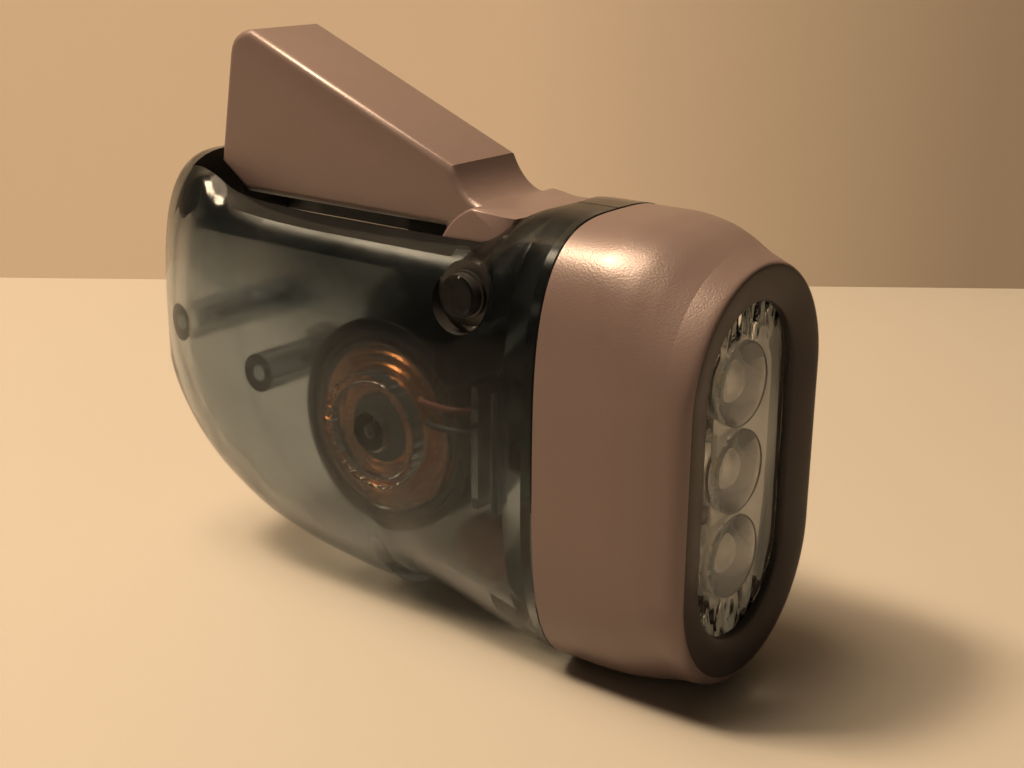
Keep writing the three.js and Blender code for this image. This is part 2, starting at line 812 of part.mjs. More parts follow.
add("bezel_ring", bezelRing(), darkBrown);

// Lens: one clear moulding of a plate, three domes and three barrels that catch the lamps
function lensPlate() {
  const plate = panel(
    stadium(
      windowHalfWidth + lensLap - seamGap,
      windowHalfHeight + lensLap - seamGap,
      windowCentreHeight,
    ),
    lensBack,
    frontX - lensSetback,
  );
  const domeRings = [1, 0.92, 0.72, 0.4].map((share) => [
    domeRadius * share,
    lensThickness + domeRise * Math.sqrt(1 - share ** 2),
  ]);
  const profile = [
    [0, -barrelLength],
    [barrelEndRadius, -barrelLength],
    [domeRadius, 0],
    [domeRadius, lensThickness / 2],
    ...domeRings,
    [0, lensThickness + domeRise],
  ];
  const pocket = lampRadius + lampClearance;
  let body = plate;
  for (const z of lampRows) body = body.add(turnedAlongX(profile, 0, z, lensBack, 18));
  for (const z of lampRows) {
    body = body.subtract(
      turnedAlongX(
        [
          [0, -barrelLength - overrun],
          [pocket, -barrelLength - overrun],
          [pocket, -barrelLength + lampPocket - pocket / 2],
          [pocket / 2, -barrelLength + lampPocket],
          [0, -barrelLength + lampPocket],
        ],
        0,
        z,
        lensBack,
        smallSides,
      ),
    );
  }
  return body;
}
add("lens_plate", lensPlate(), clear);

add(
  "lamp_board",
  panel(
    stadium(lampBoardHalfWidth, lampPitch + lampBoardHalfWidth, windowCentreHeight),
    lampBoardX,
    lampBoardX + boardThickness,
  ),
  boardGreen,
);
const lampBase = lampBoardX + boardThickness + seamGap;
["bottom", "middle", "top"].forEach((name, i) => {
  add(
    `${name}_lamp`,
    turnedAlongX(
      [
        [0, 0],
        [lampFlangeRadius, 0],
        [lampFlangeRadius, lampFlange],
        [lampRadius, lampFlange],
        [lampRadius, lampLength - lampRadius],
        [lampRadius * 0.87, lampLength - lampRadius * 0.5],
        [lampRadius * 0.5, lampLength - lampRadius * 0.13],
        [0, lampLength],
      ],
      0,
      lampRows[i],
      lampBase,
      smallSides,
    ),
    lampClear,
  );
});

// Lever
const springHole = { x: pivot.x - springLegReach, z: pivot.z - springRadius };
const bend = { x: pivot.x - leverBendInset, z: pivot.z + leverBendRise };
const leverSkirt = pivot.z + leverSkirtRise;
const leverEdge = { x: pivot.x - leverReach * leverTopShare, z: bend.z + leverRise };
const noseX = pivot.x + noseStart + slotNose - noseClearance;
const plateau = bend.z - leverRampDrop;

// The lever's side outline, with its corners given as shares of its own sizes.
function leverOutline(inset) {
  const rise = leverRise - inset * 1.08;
  const reach = leverReach - inset;
  const shape = new THREE.Shape();
  const foot = inset > 0 ? leverSkirt - overrun * 2 : leverSkirt;
  shape.moveTo(pivot.x - reach * 0.9, foot);
  shape.lineTo(pivot.x - reach, leverSkirt + leverHeel);
  shape.lineTo(pivot.x - reach * 0.945, bend.z + rise * 0.76);
  shape.quadraticCurveTo(pivot.x - reach * 0.935, bend.z + rise * 0.99, leverEdge.x, bend.z + rise);
  shape.lineTo(bend.x - inset * 0.4, bend.z - inset * 1.08);
  if (inset > 0) {
    shape.lineTo(bend.x + inset * 0.4, foot);
  } else {
    shape.quadraticCurveTo(
      bend.x + leverRampLength * 0.35,
      plateau + leverRampDrop * 0.15,
      bend.x + leverRampLength,
      plateau,
    );
    shape.lineTo(noseX, plateau);
    shape.lineTo(noseX, pivot.z);
    shape.lineTo(bend.x, pivot.z);
    shape.lineTo(bend.x - leverRampLength * 0.25, leverSkirt);
  }
  shape.closePath();
  return shape;
}

// A slice of a disc about the pivot.
function slice(radius, fromDegrees, toDegrees) {
  const shape = new THREE.Shape();
  const from = THREE.MathUtils.degToRad(fromDegrees);
  const to = THREE.MathUtils.degToRad(toDegrees);
  shape.moveTo(pivot.x, pivot.z);
  shape.lineTo(pivot.x + radius * Math.cos(from), pivot.z + radius * Math.sin(from));
  shape.absarc(pivot.x, pivot.z, radius, from, to, false);
  shape.closePath();
  return shape;
}

// A gear of straight-sided teeth round a centre; phase is the direction of one tooth.
function gearSlab(centre, teeth, module, phase, fromY, toY) {
  const pitch = (module * teeth) / 2;
  const tip = pitch + module * tipShare;
  const root = pitch - module * rootShare;
  const step = fullTurn / teeth;
  const points = [];
  for (let i = 0; i < teeth; i++) {
    const middle = phase + i * step;
    points.push(
      polar(centre, middle - toothFootShare * step, root),
      polar(centre, middle - toothTipShare * step, tip),
      polar(centre, middle + toothTipShare * step, tip),
      polar(centre, middle + toothFootShare * step, root),
    );
  }
  return slab(outlined(points), fromY, toY);
}

function lever() {
  const halfWedge = leverWidth / 2;
  const wedge = slab(leverOutline(0), -halfWedge, halfWedge).subtract(
    slab(leverOutline(leverWall), -halfWedge + leverWall, halfWedge - leverWall),
  );
  const guard = slab(slice(hubGuardRadius, 0, 180), -hubHalf, hubHalf);
  const front = block([pivot.x, -half, pivot.z], [noseX, half, plateau]);
  const roof = new THREE.Shape();
  roof.moveTo(-hubHalf, 0);
  roof.lineTo(-hubHalf, plateau - hubShoulderDrop);
  roof.lineTo(-hubHalf + hubShoulderDrop, plateau);
  roof.lineTo(hubHalf - hubShoulderDrop, plateau);
  roof.lineTo(hubHalf, plateau - hubShoulderDrop);
  roof.lineTo(hubHalf, 0);
  roof.closePath();
  const crown = joined(guard, front).intersect(panel(roof, rearX, frontX));
  const plan = upright(slotShape(-noseClearance), 0, caseHeight * 2);
  let body = joined(wedge, crown, rod(pivot, hubRadius, -hubHalf, hubHalf, 24)).intersect(plan);
  const hollowHalf = hubHalf - leverWall * 1.5;
  body = body.subtract(rod(pivot, hubGuardRadius * 0.68, -hollowHalf, hollowHalf, 24));
  body = body.subtract(
    block([bend.x - overrun, -hollowHalf, 0], [frontX, hollowHalf, pivot.z]),
  );
  body = body.add(rod(pivot, hubBore + leverWall * 0.6, -hubHalf, hubHalf));

  const lastTooth = driverDirection - leverTravel - sectorLead;
  const toothed = gearSlab(
    pivot,
    sectorTeeth,
    sectorModule,
    driverDirection,
    -sectorHalf,
    sectorHalf,
  ).intersect(
    slab(
      slice(sectorPitch + sectorModule * 2, lastTooth, driverDirection + sectorLead),
      -sectorHalf - overrun,
      sectorHalf + overrun,
    ),
  );
  const rib = slab(leverOutline(0), -sectorHalf, sectorHalf).intersect(
    block([pivot.x - sectorPitch, -half, leverSkirt - overrun], [bend.x + overrun, half, caseHeight * 2]),
  );
  const link = slab(
    slice(sectorPitch - sectorModule * 2, sectorRootAngle, driverDirection),
    -sectorHalf,
    sectorHalf,
  );
  body = joined(body, toothed, rib, link);
  body = body.subtract(rod(springHole, springWire + seamGap, -half, half, smallSides));
  return body.subtract(rod(pivot, hubBore, -wide, wide));
}
add("squeeze_lever", lever(), taupe);
add("lever_pin", rod(pivot, pivotPinRadius, -dishFloor - pinStandOut, dishFloor + pinStandOut), steel);

// A round wire along a path: points joined by straight runs, or by a smooth curve.
function wire(points, radius, steps, sides) {
  const path = new THREE.CatmullRomCurve3(points.map((point) => new THREE.Vector3(...point)));
  const section = new THREE.Shape();
  for (let i = 0; i < sides; i++) {
    const turn = (i / sides) * Math.PI * 2;
    const place = [radius * Math.cos(turn), radius * Math.sin(turn)];
    if (i === 0) section.moveTo(...place);
    else section.lineTo(...place);
  }
  section.closePath();
  return solid(new THREE.ExtrudeGeometry(section, { steps, extrudePath: path }));
}

// A closed skin over the rings of a wound wire, each ring square to the wire.
function wound(points, radius, sides) {
  const rings = points.map((point, i) => {
    const before = points[Math.max(i - 1, 0)];
    const after = points[Math.min(i + 1, points.length - 1)];
    const along = new THREE.Vector3().subVectors(after, before).normalize();
    const side = new THREE.Vector3(0, 1, 0).addScaledVector(along, -along.y).normalize();
    const up = new THREE.Vector3().crossVectors(along, side);
    const ring = [];
    for (let k = 0; k < sides; k++) {
      const turn = (k / sides) * Math.PI * 2;
      const spot = point
        .clone()
        .addScaledVector(side, radius * Math.cos(turn))
        .addScaledVector(up, radius * Math.sin(turn));
      ring.push([spot.x, spot.y, spot.z]);
    }
    return ring;
  });
  return loft(rings);
}

// The least gap between turns of a wound wire, measured on its points.
function leastGap(points, radius, perTurn) {
  let least = Infinity;
  points.forEach((point, i) => {
    for (let j = i + Math.ceil(perTurn / 2); j < points.length; j++) {
      least = Math.min(least, point.distanceTo(points[j]) - radius * 2);
    }
  });
  return least;
}

// Lever spring, round the hub's tube: one leg hooks through the lever's plate, one leans on a pillar.
const springSteps = Math.round(springTurns * curlSteps);
function springPath() {
  const path = [];
  const tipZ = pivot.z - springRadius;
  path.push(new THREE.Vector3(springHole.x, -sectorHalf - seamGap, tipZ));
  path.push(new THREE.Vector3(springHole.x, springStart - springWire * 2, tipZ));
  path.push(new THREE.Vector3(springHole.x + springWire, springStart, tipZ));
  for (let i = 0; i <= springSteps; i++) {
    const turn = -Math.PI / 2 + (i / curlSteps) * Math.PI * 2;
    path.push(
      new THREE.Vector3(
        pivot.x + springRadius * Math.cos(turn),
        springStart + (i / curlSteps) * springPitch,
        pivot.z + springRadius * Math.sin(turn),
      ),
    );
  }
  const end = path[path.length - 1];
  const restX = frontPillar.x - pillarRadius - springWire - seamGap;
  path.push(new THREE.Vector3(restX, end.y, pivot.z - springLegDrop));
  return path;
}
const springPoints = springPath();
add("lever_spring", wound(springPoints, springWire, 5), steel);
console.log(
  `lever_spring least gap ${leastGap(springPoints.slice(3, -1), springWire, curlSteps).toFixed(2)} mm`,
);

// Gears
const pullDirection = driverDirection - fullTurn / 2;
const firstToSecond = degreesBetween(firstShaft, secondShaft);
const secondToRotor = degreesBetween(secondShaft, rotor);

// Drive pinion with three sprung fingers that turn the first gear one way only.
function drivePinion() {
  const phase = pullDirection + fullTurn / 2 / driverTeeth;
  let body = gearSlab(firstShaft, driverTeeth, sectorModule, phase, -sectorHalf, sectorHalf);
  const collarEnd = layerTwo + ratchetDepth - seamGap;
  body = body.add(rod(firstShaft, pawlHubRadius, 0, collarEnd));
  for (let i = 0; i < pawlCount; i++) {
    const start = (i * fullTurn) / pawlCount;
    const corners = [
      polar(firstShaft, start - 60, pawlHubRadius * 0.9),
      polar(firstShaft, start - 25, pawlHubRadius + 1.3),
      polar(firstShaft, start + 2, ratchetRadius - pawlGap),
      polar(firstShaft, start - 6, ratchetRadius - pawlGap),
      polar(firstShaft, start - 36, pawlHubRadius + 1.1),
      polar(firstShaft, start - 90, pawlHubRadius * 0.9),
    ];
    body = body.add(slab(outlined(corners), layerTwo + seamGap, collarEnd));
  }
  return body.subtract(rod(firstShaft, bearing, -half, half));
}
add("drive_pinion", drivePinion(), nylon);

// First gear, with a saw-toothed recess for the fingers.
function firstGear() {
  const saw = [];
  for (let i = 0; i < ratchetTeeth; i++) {
    const start = (i * fullTurn) / ratchetTeeth;
    saw.push(polar(firstShaft, start, ratchetRadius));
    saw.push(polar(firstShaft, start, ratchetRadius + ratchetRise));
  }
  const body = gearSlab(
    firstShaft,
    firstGearTeeth,
    gearModule,
    firstToSecond,
    layerTwo,
    layerTwo + gearThickness,
  );
  return body
    .subtract(slab(outlined(saw), layerTwo - overrun, layerTwo + ratchetDepth))
    .subtract(rod(firstShaft, bearing, -half, half));
}
add("first_gear", firstGear(), nylon);

const secondPinionPhase = firstToSecond + (fullTurn / 2) * (1 + 1 / secondPinionTeeth);
add(
  "second_gear",
  joined(
    gearSlab(
      secondShaft,
      secondPinionTeeth,
      gearModule,
      secondPinionPhase,
      layerTwo,
      layerThree + seamGap,
    ),
    gearSlab(secondShaft, secondGearTeeth, gearModule, secondToRotor, layerThree, layerEnd),
  ).subtract(rod(secondShaft, bearing, -half, half)),
  nylon,
);
const rotorPinionPhase = secondToRotor + (fullTurn / 2) * (1 + 1 / rotorPinionTeeth);
add(
  "rotor_pinion",
  gearSlab(
    rotor,
    rotorPinionTeeth,
    gearModule,
    rotorPinionPhase,
    layerThree - seamGap,
    layerEnd,
  ).subtract(rod(rotor, bearing, -half, half)),
  brass,
);
add("first_shaft", rod(firstShaft, shaftRadius, plateFace, shaftEnd), steel);
add("second_shaft", rod(secondShaft, shaftRadius, plateFace, shaftEnd), steel);

// Plate that carries the left ends of the gear shafts, held over two pillars.
function gearPlate() {
  const spots = [
    { place: rearPillar, radius: plateEarRadius },
    { place: frontPillar, radius: plateEarRadius },
    { place: firstShaft, radius: plateEyeRadius },
    { place: secondShaft, radius: plateEyeRadius },
    { place: rotor, radius: plateEyeRadius },
  ];
  const links = [[0, 2], [0, 3], [2, 3], [2, 4], [3, 4], [2, 1], [4, 1]];
  const strap = ([from, to]) => {
    const a = spots[from].place;
    const b = spots[to].place;
    const side = degreesBetween(a, b) + 90;
    return slab(
      outlined([
        polar(a, side, plateStrap),
        polar(a, side + 180, plateStrap),
        polar(b, side + 180, plateStrap),
        polar(b, side, plateStrap),
      ]),
      plateFace,
      -platePosition,
    );
  };
  let body = joined(
    ...spots.map(({ place, radius }) => rod(place, radius, plateFace, -platePosition, 14)),
    ...links.map(strap),
  );
  for (const pillar of platePillars) {
    body = body.subtract(rod(pillar, pillarRadius + pinClearance * 2, -half, half));
  }
  for (const place of [firstShaft, secondShaft, rotor]) {
    body = body.subtract(rod(place, bearing, -half, half));
  }
  return body;
}
add("gear_plate", gearPlate(), steel);

// Generator: a cup with a ring magnet turns round the fixed coil
const webY = -rotorWebInset;
const rimEnd = rotorWallGap - innerWall;
add(
  "rotor_cup",
  turnedAlongY(
    [
      [bearing, webY - webThickness],
      [rotorRadius - rotorRim, webY - webThickness],
      [rotorRadius - rotorRim, rimEnd],
      [rotorRadius, rimEnd],
      [rotorRadius, webY - webThickness / 2],
      [rotorRadius - webThickness / 2, webY],
      [bearing, webY],
      [bearing, webY - webThickness],
    ],
    rotor,
    32,
  ),
  steel,
);
add(
  "rotor_magnet",
  tube(rotor, magnetOuter, magnetInner, rimEnd + seamGap, webY - webThickness - seamGap, 32),
  ferrite,
);
add("rotor_shaft", rod(rotor, shaftRadius, -rotorShaftStart, shaftEnd), steel);

const coilStart = rimEnd - bobbinOverhang; // outer face of the left flange
const coilEnd = webY - webThickness - layerGap; // outer face of the right flange
const coreOuter = bobbinCore + bobbinCoreWall;
const collarOuter = ringBossRadius - ringBossWall - seamGap;
function bobbin() {
  const boss = -innerWall + seamGap * 3;
  return turnedAlongY(
    [
      [bobbinCore, boss],
      [collarOuter, boss],
      [collarOuter, coilStart],
      [bobbinRadius, coilStart],
      [bobbinRadius, coilStart + bobbinFlange],
      [coreOuter, coilStart + bobbinFlange],
      [coreOuter, coilEnd - bobbinFlange],
      [bobbinRadius, coilEnd - bobbinFlange],
      [bobbinRadius, coilEnd],
      [bobbinCore, coilEnd],
      [bobbinCore, boss],
    ],
    rotor,
    24,
  );
}
add("coil_bobbin", bobbin(), blackPlastic);

// Winding: a plain core with the outer layer of wire round it, as one unbroken tube.
function coilPath() {
  const room = coilEnd - coilStart - bobbinFlange * 2 - coilWireRadius * 2;
  const coilLoops = Math.floor(room / coilPitch);
  const width = coilLoops * coilPitch;
  const middle = (coilStart + coilEnd) / 2;
  const path = [];
  const count = coilLoops * loopSteps;
  const dive = (point) => {
    const share = 1 - (coilWireRadius * 3) / coilWireCentre;
    return new THREE.Vector3(
      rotor.x + (point.x - rotor.x) * share,
      point.y,
      rotor.z + (point.z - rotor.z) * share,
    );
  };
  for (let i = 0; i <= count; i++) {
    const turn = (i / loopSteps) * Math.PI * 2;
    path.push(
      new THREE.Vector3(
        rotor.x + coilWireCentre * Math.cos(turn),
        middle - width / 2 + (i / loopSteps) * coilPitch,
        rotor.z + coilWireCentre * Math.sin(turn),
      ),
    );
  }
  path.unshift(dive(path[0]));
  path.push(dive(path[path.length - 1]));
  return path;
}
const coilPoints = coilPath();
add(
  "coil_winding",
  tube(
    rotor,
    coilCoreRadius,
    coreOuter + seamGap,
    coilStart + bobbinFlange + seamGap,
    coilEnd - bobbinFlange - seamGap,
    24,
  ).add(wound(coilPoints, coilWireRadius, 6)),
  copper,
);
console.log(
  `coil_winding least gap ${leastGap(coilPoints.slice(1, -1), coilWireRadius, loopSteps).toFixed(2)} mm`,
);

// Circuit, cell and leads
add(
  "circuit_board",
  block(
    [boardX, -circuitWidth / 2, circuitFoot],
    [boardX + boardThickness, circuitWidth / 2, circuitFoot + circuitHeight],
  ),
  boardGreen,
);
const boardFront = boardX + boardThickness + seamGap;
add(
  "capacitor",
  turnedAlongX(
    [
      [0, 0],
      [capacitorRadius, 0],
      [capacitorRadius, capacitorLength * 0.95],
      [capacitorRadius * 0.85, capacitorLength],
      [0, capacitorLength],
    ],
    -circuitWidth * 0.2,
    circuitFoot + circuitHeight * 0.3,
    boardFront,
    smallSides,
  ),
  blackPlastic,
);
["lower", "upper"].forEach((name, i) => {
  const place = { x: boardFront + diodeRadius, z: circuitFoot + circuitHeight * (0.3 + 0.3 * i) };
  add(
    `${name}_diode`,
    rod(place, diodeRadius, circuitWidth * 0.12, circuitWidth * 0.12 + diodeLength, smallSides),
    blackPlastic,
  );
});
add(
  "storage_cell",
  turnedAlongY(
    [
      [0, -cellLength / 2],
      [cellRadius * 0.9, -cellLength / 2],
      [cellRadius, -cellLength / 2 + cellRadius * 0.1],
      [cellRadius, cellLength / 2 - cellRadius * 0.1],
      [cellRadius * 0.9, cellLength / 2],
      [0, cellLength / 2],
    ],
    cell,
    24,
  ),
  cellGreen,
);
const leadY = -innerWall + leadRadius + seamGap * 3;
["upper", "lower"].forEach((name, i) => {
  const z = rotor.z + coilLeadRise * (2 - i);
  const reach = coilLeadReach * (1 + i * 0.16);
  const boardSpot = -circuitWidth * 0.36;
  add(
    `${name}_coil_lead`,
    wire(
      [
        [rotor.x + reach, coilStart - seamGap, z],
        [rotor.x + reach + leadRadius * 2, leadY, z],
        [rotor.x + rotorRadius, leadY, z],
        [boardX - leadRadius * 6, leadY * 0.82, z],
        [boardX - leadRadius * 4, boardSpot - leadRadius, z],
        [boardX - seamGap, boardSpot, z],
      ],
      leadRadius,
      15,
      8,
    ),
    i ? leadBlack : leadRed,
  );
});
["left", "right"].forEach((name, i) => {
  const y = circuitWidth * 0.2 * (i ? 1 : -1);
  const from = circuitFoot + circuitHeight * 0.85;
  add(
    `${name}_lamp_lead`,
    wire(
      [
        [boardFront, y, from],
        [boardFront + leadRadius * 4, y, from],
        [lampBoardX - leadRadius * 4, y * 0.7, from + leadRadius * 3],
        [lampBoardX - seamGap, y * 0.7, from + leadRadius * 3],
      ],
      leadRadius,
      9,
      8,
    ),
    i ? leadBlack : leadRed,
  );
});

export default parts;
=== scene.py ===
import math

import bmesh
import bpy
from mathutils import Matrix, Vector


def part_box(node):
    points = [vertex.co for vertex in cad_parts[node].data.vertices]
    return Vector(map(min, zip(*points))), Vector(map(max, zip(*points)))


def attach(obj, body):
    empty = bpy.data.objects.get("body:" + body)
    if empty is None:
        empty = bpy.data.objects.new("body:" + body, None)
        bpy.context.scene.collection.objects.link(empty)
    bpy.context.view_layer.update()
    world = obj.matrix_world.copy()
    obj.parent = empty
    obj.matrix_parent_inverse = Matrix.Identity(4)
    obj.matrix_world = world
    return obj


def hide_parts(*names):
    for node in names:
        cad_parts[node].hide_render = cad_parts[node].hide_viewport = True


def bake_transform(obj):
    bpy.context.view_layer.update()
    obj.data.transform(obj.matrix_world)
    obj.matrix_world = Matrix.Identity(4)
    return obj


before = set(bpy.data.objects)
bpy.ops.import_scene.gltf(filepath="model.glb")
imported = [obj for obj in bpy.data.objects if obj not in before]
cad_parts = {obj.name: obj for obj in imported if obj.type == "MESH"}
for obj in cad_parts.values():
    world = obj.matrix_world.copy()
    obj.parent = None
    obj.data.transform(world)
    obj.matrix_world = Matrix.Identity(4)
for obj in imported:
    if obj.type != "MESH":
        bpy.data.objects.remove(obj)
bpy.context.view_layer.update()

bl_info = {
    "name": "Squeeze dynamo torch",
    "version": (1, 0, 0),
    "blender": (4, 5, 0),
    "location": "View3D > Sidebar > Torch",
    "description": "Builds a squeeze-lever dynamo torch with a smoky case, piece by piece",
    "category": "Add Mesh",
}

MM = 0.001

# Places and sizes of the part, in millimetres
FRONT_X = 51.75
REAR_X = -51.75
JOINT_X = 28.95
STEP_X = -2.25
HALF = 19.3
HEIGHT = 63.8
WALL = 1.9
SEAM = 0.15
GAP = 0.3
REST_CUT = 0.3
STEP_RISE = 2.9
HORN_RISE = 4.3
SKIN_POWER = 3.3
SLOT_FLOOR = 59.6
SLOT_HALF = 10.2
SLOT_REAR = REAR_X + 6.2
SLOT_NOSE = 6.2
CHEEK = 1.2
CHEEK_FOOT = 52.6
PIVOT = (15.35, 52.9)
NOSE_X = PIVOT[0] + 0.8 + SLOT_NOSE - 0.4
LEVER_HALF = 7.7
HUB_HALF = 9.8
LEVER_REACH = 57.3
HOOK_HOLE = (PIVOT[0] - 11.2, PIVOT[1] - 4.6)
SECTOR_TEETH = 63
SECTOR_MODULE = 0.8
DISH_FLOOR = 15.63
SHAFT_BORE = 1.06
ROTOR = (-1.15, 29.9)
FIRST_SHAFT = (-9.7577, 37.9921)
SECOND_SHAFT = (-10.8434, 25.1379)
PILLARS = {
    "rear": (-23.85, 34.3),
    "tail": (-43.16, 38.4),
    "front": (14.35, 42.9),
    "foot": (22.25, 8.6),
}
PILLAR_RADIUS = 3.0
HORN_BOSS = (-43.75, 56.9)
HORN_RADIUS = 2.4
INNER_WALL = HALF - WALL
RIM_END = -13.926
WEB = -4.2
COIL_START = -14.526
COIL_END = -6.2
WINDOW_CENTRE = 30.65
LAMP_ROWS = (18.25, 30.65, 43.05)
LENS_FACE = 49.35
LENS_BACK = 47.75
DOME_RADIUS = 5.95
DOME_RISE = 1.7
LAMP_BASE = 37.05
BOARD_X = 19.55

# The case's tail, front and head as rows: how far along, then shares of the case's sizes
TAIL = (
    (0.0, 0.6, 0.945, 0.53),
    (0.023, 0.494, 0.985, 0.67),
    (0.065, 0.395, 1.01, 0.775),
    (0.135, 0.275, 1.016, 0.87),
    (0.23, 0.178, 0.993, 0.945),
    (0.33, 0.115, 0.954, 0.98),
    (0.48, 0.056, 0.939, 1.0),
    (0.7, 0.017, 0.934, 1.0),
    (0.985, 0.0, 0.934, 1.0),
)
FRONT = (
    (0.014, 0.65, 0.0),
    (0.14, 0.93, 0.0),
    (0.5, 0.55, 0.05),
    (0.585, 0.42, 0.32),
    (0.66, 0.3, 0.7),
    (0.74, 0.18, 0.96),
    (0.82, 0.08, 1.0),
    (1.0, 0.0, 1.0),
)
HEAD = (
    (0.0, 1.0, 1.0, 0.0, 0.0),
    (0.36, 1.0, 1.0, 0.0, 0.04),
    (0.62, 0.992, 0.997, 0.0, 0.25),
    (0.8, 0.98, 0.987, 0.1, 0.62),
    (0.92, 0.9665, 0.977, 0.35, 0.9),
    (1.0, 0.9558, 0.967, 0.63, 1.0),
)


# Hand tools: small steps that each piece is made with


def only(piece):
    bpy.ops.object.select_all(action="DESELECT")
    piece.hide_set(False)
    piece.select_set(True)
    bpy.context.view_layer.objects.active = piece


def edit_mesh(piece):
    mesh = bmesh.from_edit_mesh(piece.data)
    mesh.verts.ensure_lookup_table()
    return mesh


def loft(name, rings, cap=True, closed=False):
    """Lays a drawn circle on the first ring and extrudes it from ring to ring. Rings are in millimetres."""
    count = len(rings[0])
    bpy.ops.object.select_all(action="DESELECT")
    bpy.ops.mesh.primitive_circle_add(vertices=count, radius=1)
    piece = bpy.context.object
    piece.name = piece.data.name = name
    bpy.ops.object.mode_set(mode="EDIT")
    bpy.ops.mesh.select_mode(type="VERT")
    bpy.ops.mesh.select_all(action="SELECT")
    mesh = edit_mesh(piece)
    for vertex, spot in zip(mesh.verts, rings[0]):
        vertex.co = Vector(spot) * MM
    place = list(range(count))
    for ring in rings[1:]:
        before = len(mesh.verts)
        bpy.ops.mesh.extrude_edges_move()
        mesh = edit_mesh(piece)
        mesh.verts.index_update()
        known = {index: i for i, index in enumerate(place)}
        place = [0] * count
        for vertex in mesh.verts[before:]:
            for edge in vertex.link_edges:
                i = known.get(edge.other_vert(vertex).index)
                if i is not None:
                    vertex.co = Vector(ring[i]) * MM
                    place[i] = vertex.index
    if cap:
        for start, end in ((0, count), (len(mesh.verts) - count, len(mesh.verts))):
            bpy.ops.mesh.select_all(action="DESELECT")
            mesh = edit_mesh(piece)
            for vertex in mesh.verts[start:end]:
                vertex.select = True
            mesh.select_flush(True)
            bpy.ops.mesh.edge_face_add()
    if closed:
        bpy.ops.mesh.select_mode(type="EDGE")
        bpy.ops.mesh.select_all(action="DESELECT")
        mesh = edit_mesh(piece)
        for edge in mesh.edges:
            if edge.is_boundary:
                edge.select = True
        bpy.ops.mesh.bridge_edge_loops()
    bpy.ops.object.mode_set(mode="OBJECT")
    merged(piece, 0.000004, outward=True)
    return piece


def prism(name, outline, low, high, along="Y"):
    """A flat outline given thickness along one axis."""
    spots = {
        "X": lambda a, b, c: (c, a, b),
        "Y": lambda a, b, c: (a, c, b),
        "Z": lambda a, b, c: (a, b, c),
    }[along]
    return loft(name, [[spots(a, b, c) for a, b in outline] for c in (low, high)])


def block(name, low, high):
    outline = [(low[0], low[2]), (high[0], low[2]), (high[0], high[2]), (low[0], high[2])]
    return prism(name, outline, low[1], high[1])


def around(centre, radius, turn):
    """A point at a radius and angle from a centre."""
    return centre[0] + radius * math.cos(turn), centre[1] + radius * math.sin(turn)


def beyond(base, *pairs):
    """A profile whose distances are counted from a base."""
    return [(radius, base + reach) for radius, reach in pairs]


def turned(name, profile, centre, along="Y", sides=48, closed=False):
    """A profile of (radius, distance) pairs turned round an axis."""
    rings = []
    for radius, reach in profile:
        spots = [around(centre, radius, i / sides * math.tau) for i in range(sides)]
        rings.append([(a, reach, b) if along == "Y" else (reach, a, b) for a, b in spots])
    return loft(name, rings, cap=not closed, closed=closed)


def rod(name, centre, radius, low, high, sides=32, round_over=0.0):
    profile = [(radius, low + round_over), (radius, high - round_over)]
    if round_over:
        slim, end = radius - round_over, round_over * 0.3
        profile = [(slim, low), (radius - end, low + end), *profile, (radius - end, high - end), (slim, high)]
    return turned(name, profile, centre, sides=sides)


def join(name, pieces):
    bpy.ops.object.select_all(action="DESELECT")
    for piece in pieces:
        piece.select_set(True)
    bpy.context.view_layer.objects.active = pieces[0]
    if len(pieces) > 1:
        bpy.ops.object.join()
    piece = bpy.context.object
    piece.name = piece.data.name = name
    return piece


def merged(piece, threshold, outward=False):
    """Joins points that lie on top of each other, and can turn the faces outward."""
    only(piece)
    bpy.ops.object.mode_set(mode="EDIT")
    bpy.ops.mesh.select_all(action="SELECT")
    bpy.ops.mesh.remove_doubles(threshold=threshold)
    if outward:
        bpy.ops.mesh.normals_make_consistent(inside=False)
    bpy.ops.object.mode_set(mode="OBJECT")


def combine(piece, tool, operation):
    """Cuts, adds or keeps what is shared, and throws the tool away."""
    before = piece.data.copy()
    for merge in (0.000004, 0.00001, 0.00002):
        modifier = piece.modifiers.new("shape", "BOOLEAN")
        modifier.operation = operation
        modifier.solver = "EXACT"
        modifier.object = tool
        only(piece)
        bpy.ops.object.modifier_apply(modifier=modifier.name)
        if len(piece.data.polygons) > 4:
            merged(piece, 0.000004)
            break
        piece.data = before.copy()
        merged(piece, merge)
    else:
        raise RuntimeError(f"{piece.name}: {tool.name} can't be applied")
    bpy.data.objects.remove(tool, do_unlink=True)
    return piece


def cut(piece, *tools):
    for tool in tools:
        combine(piece, tool, "DIFFERENCE")
    return piece


def add(piece, *tools):
    for tool in tools:
        combine(piece, tool, "UNION")
    return piece


def copied(piece, name):
    only(piece)
    bpy.ops.object.duplicate()
    copy = bpy.context.object
    copy.name = copy.data.name = name
    return copy


def rounded(piece, width, segments, angle=35):
    """Bevels the sharp edges of a piece."""
    modifier = piece.modifiers.new("edges", "BEVEL")
    modifier.width = width * MM
    modifier.segments = segments
    modifier.limit_method = "ANGLE"
    modifier.angle_limit = math.radians(angle)
    only(piece)
    bpy.ops.object.modifier_apply(modifier=modifier.name)
    return piece


def smooth(piece, angle):
    only(piece)
    bpy.ops.object.shade_smooth_by_angle(angle=math.radians(angle))
    return piece


def ground():
    """What lies below the table top, for cutting flat feet."""
    return block("ground", (REAR_X * 2, -HALF * 2, -HEIGHT), (FRONT_X * 2, HALF * 2, 0))


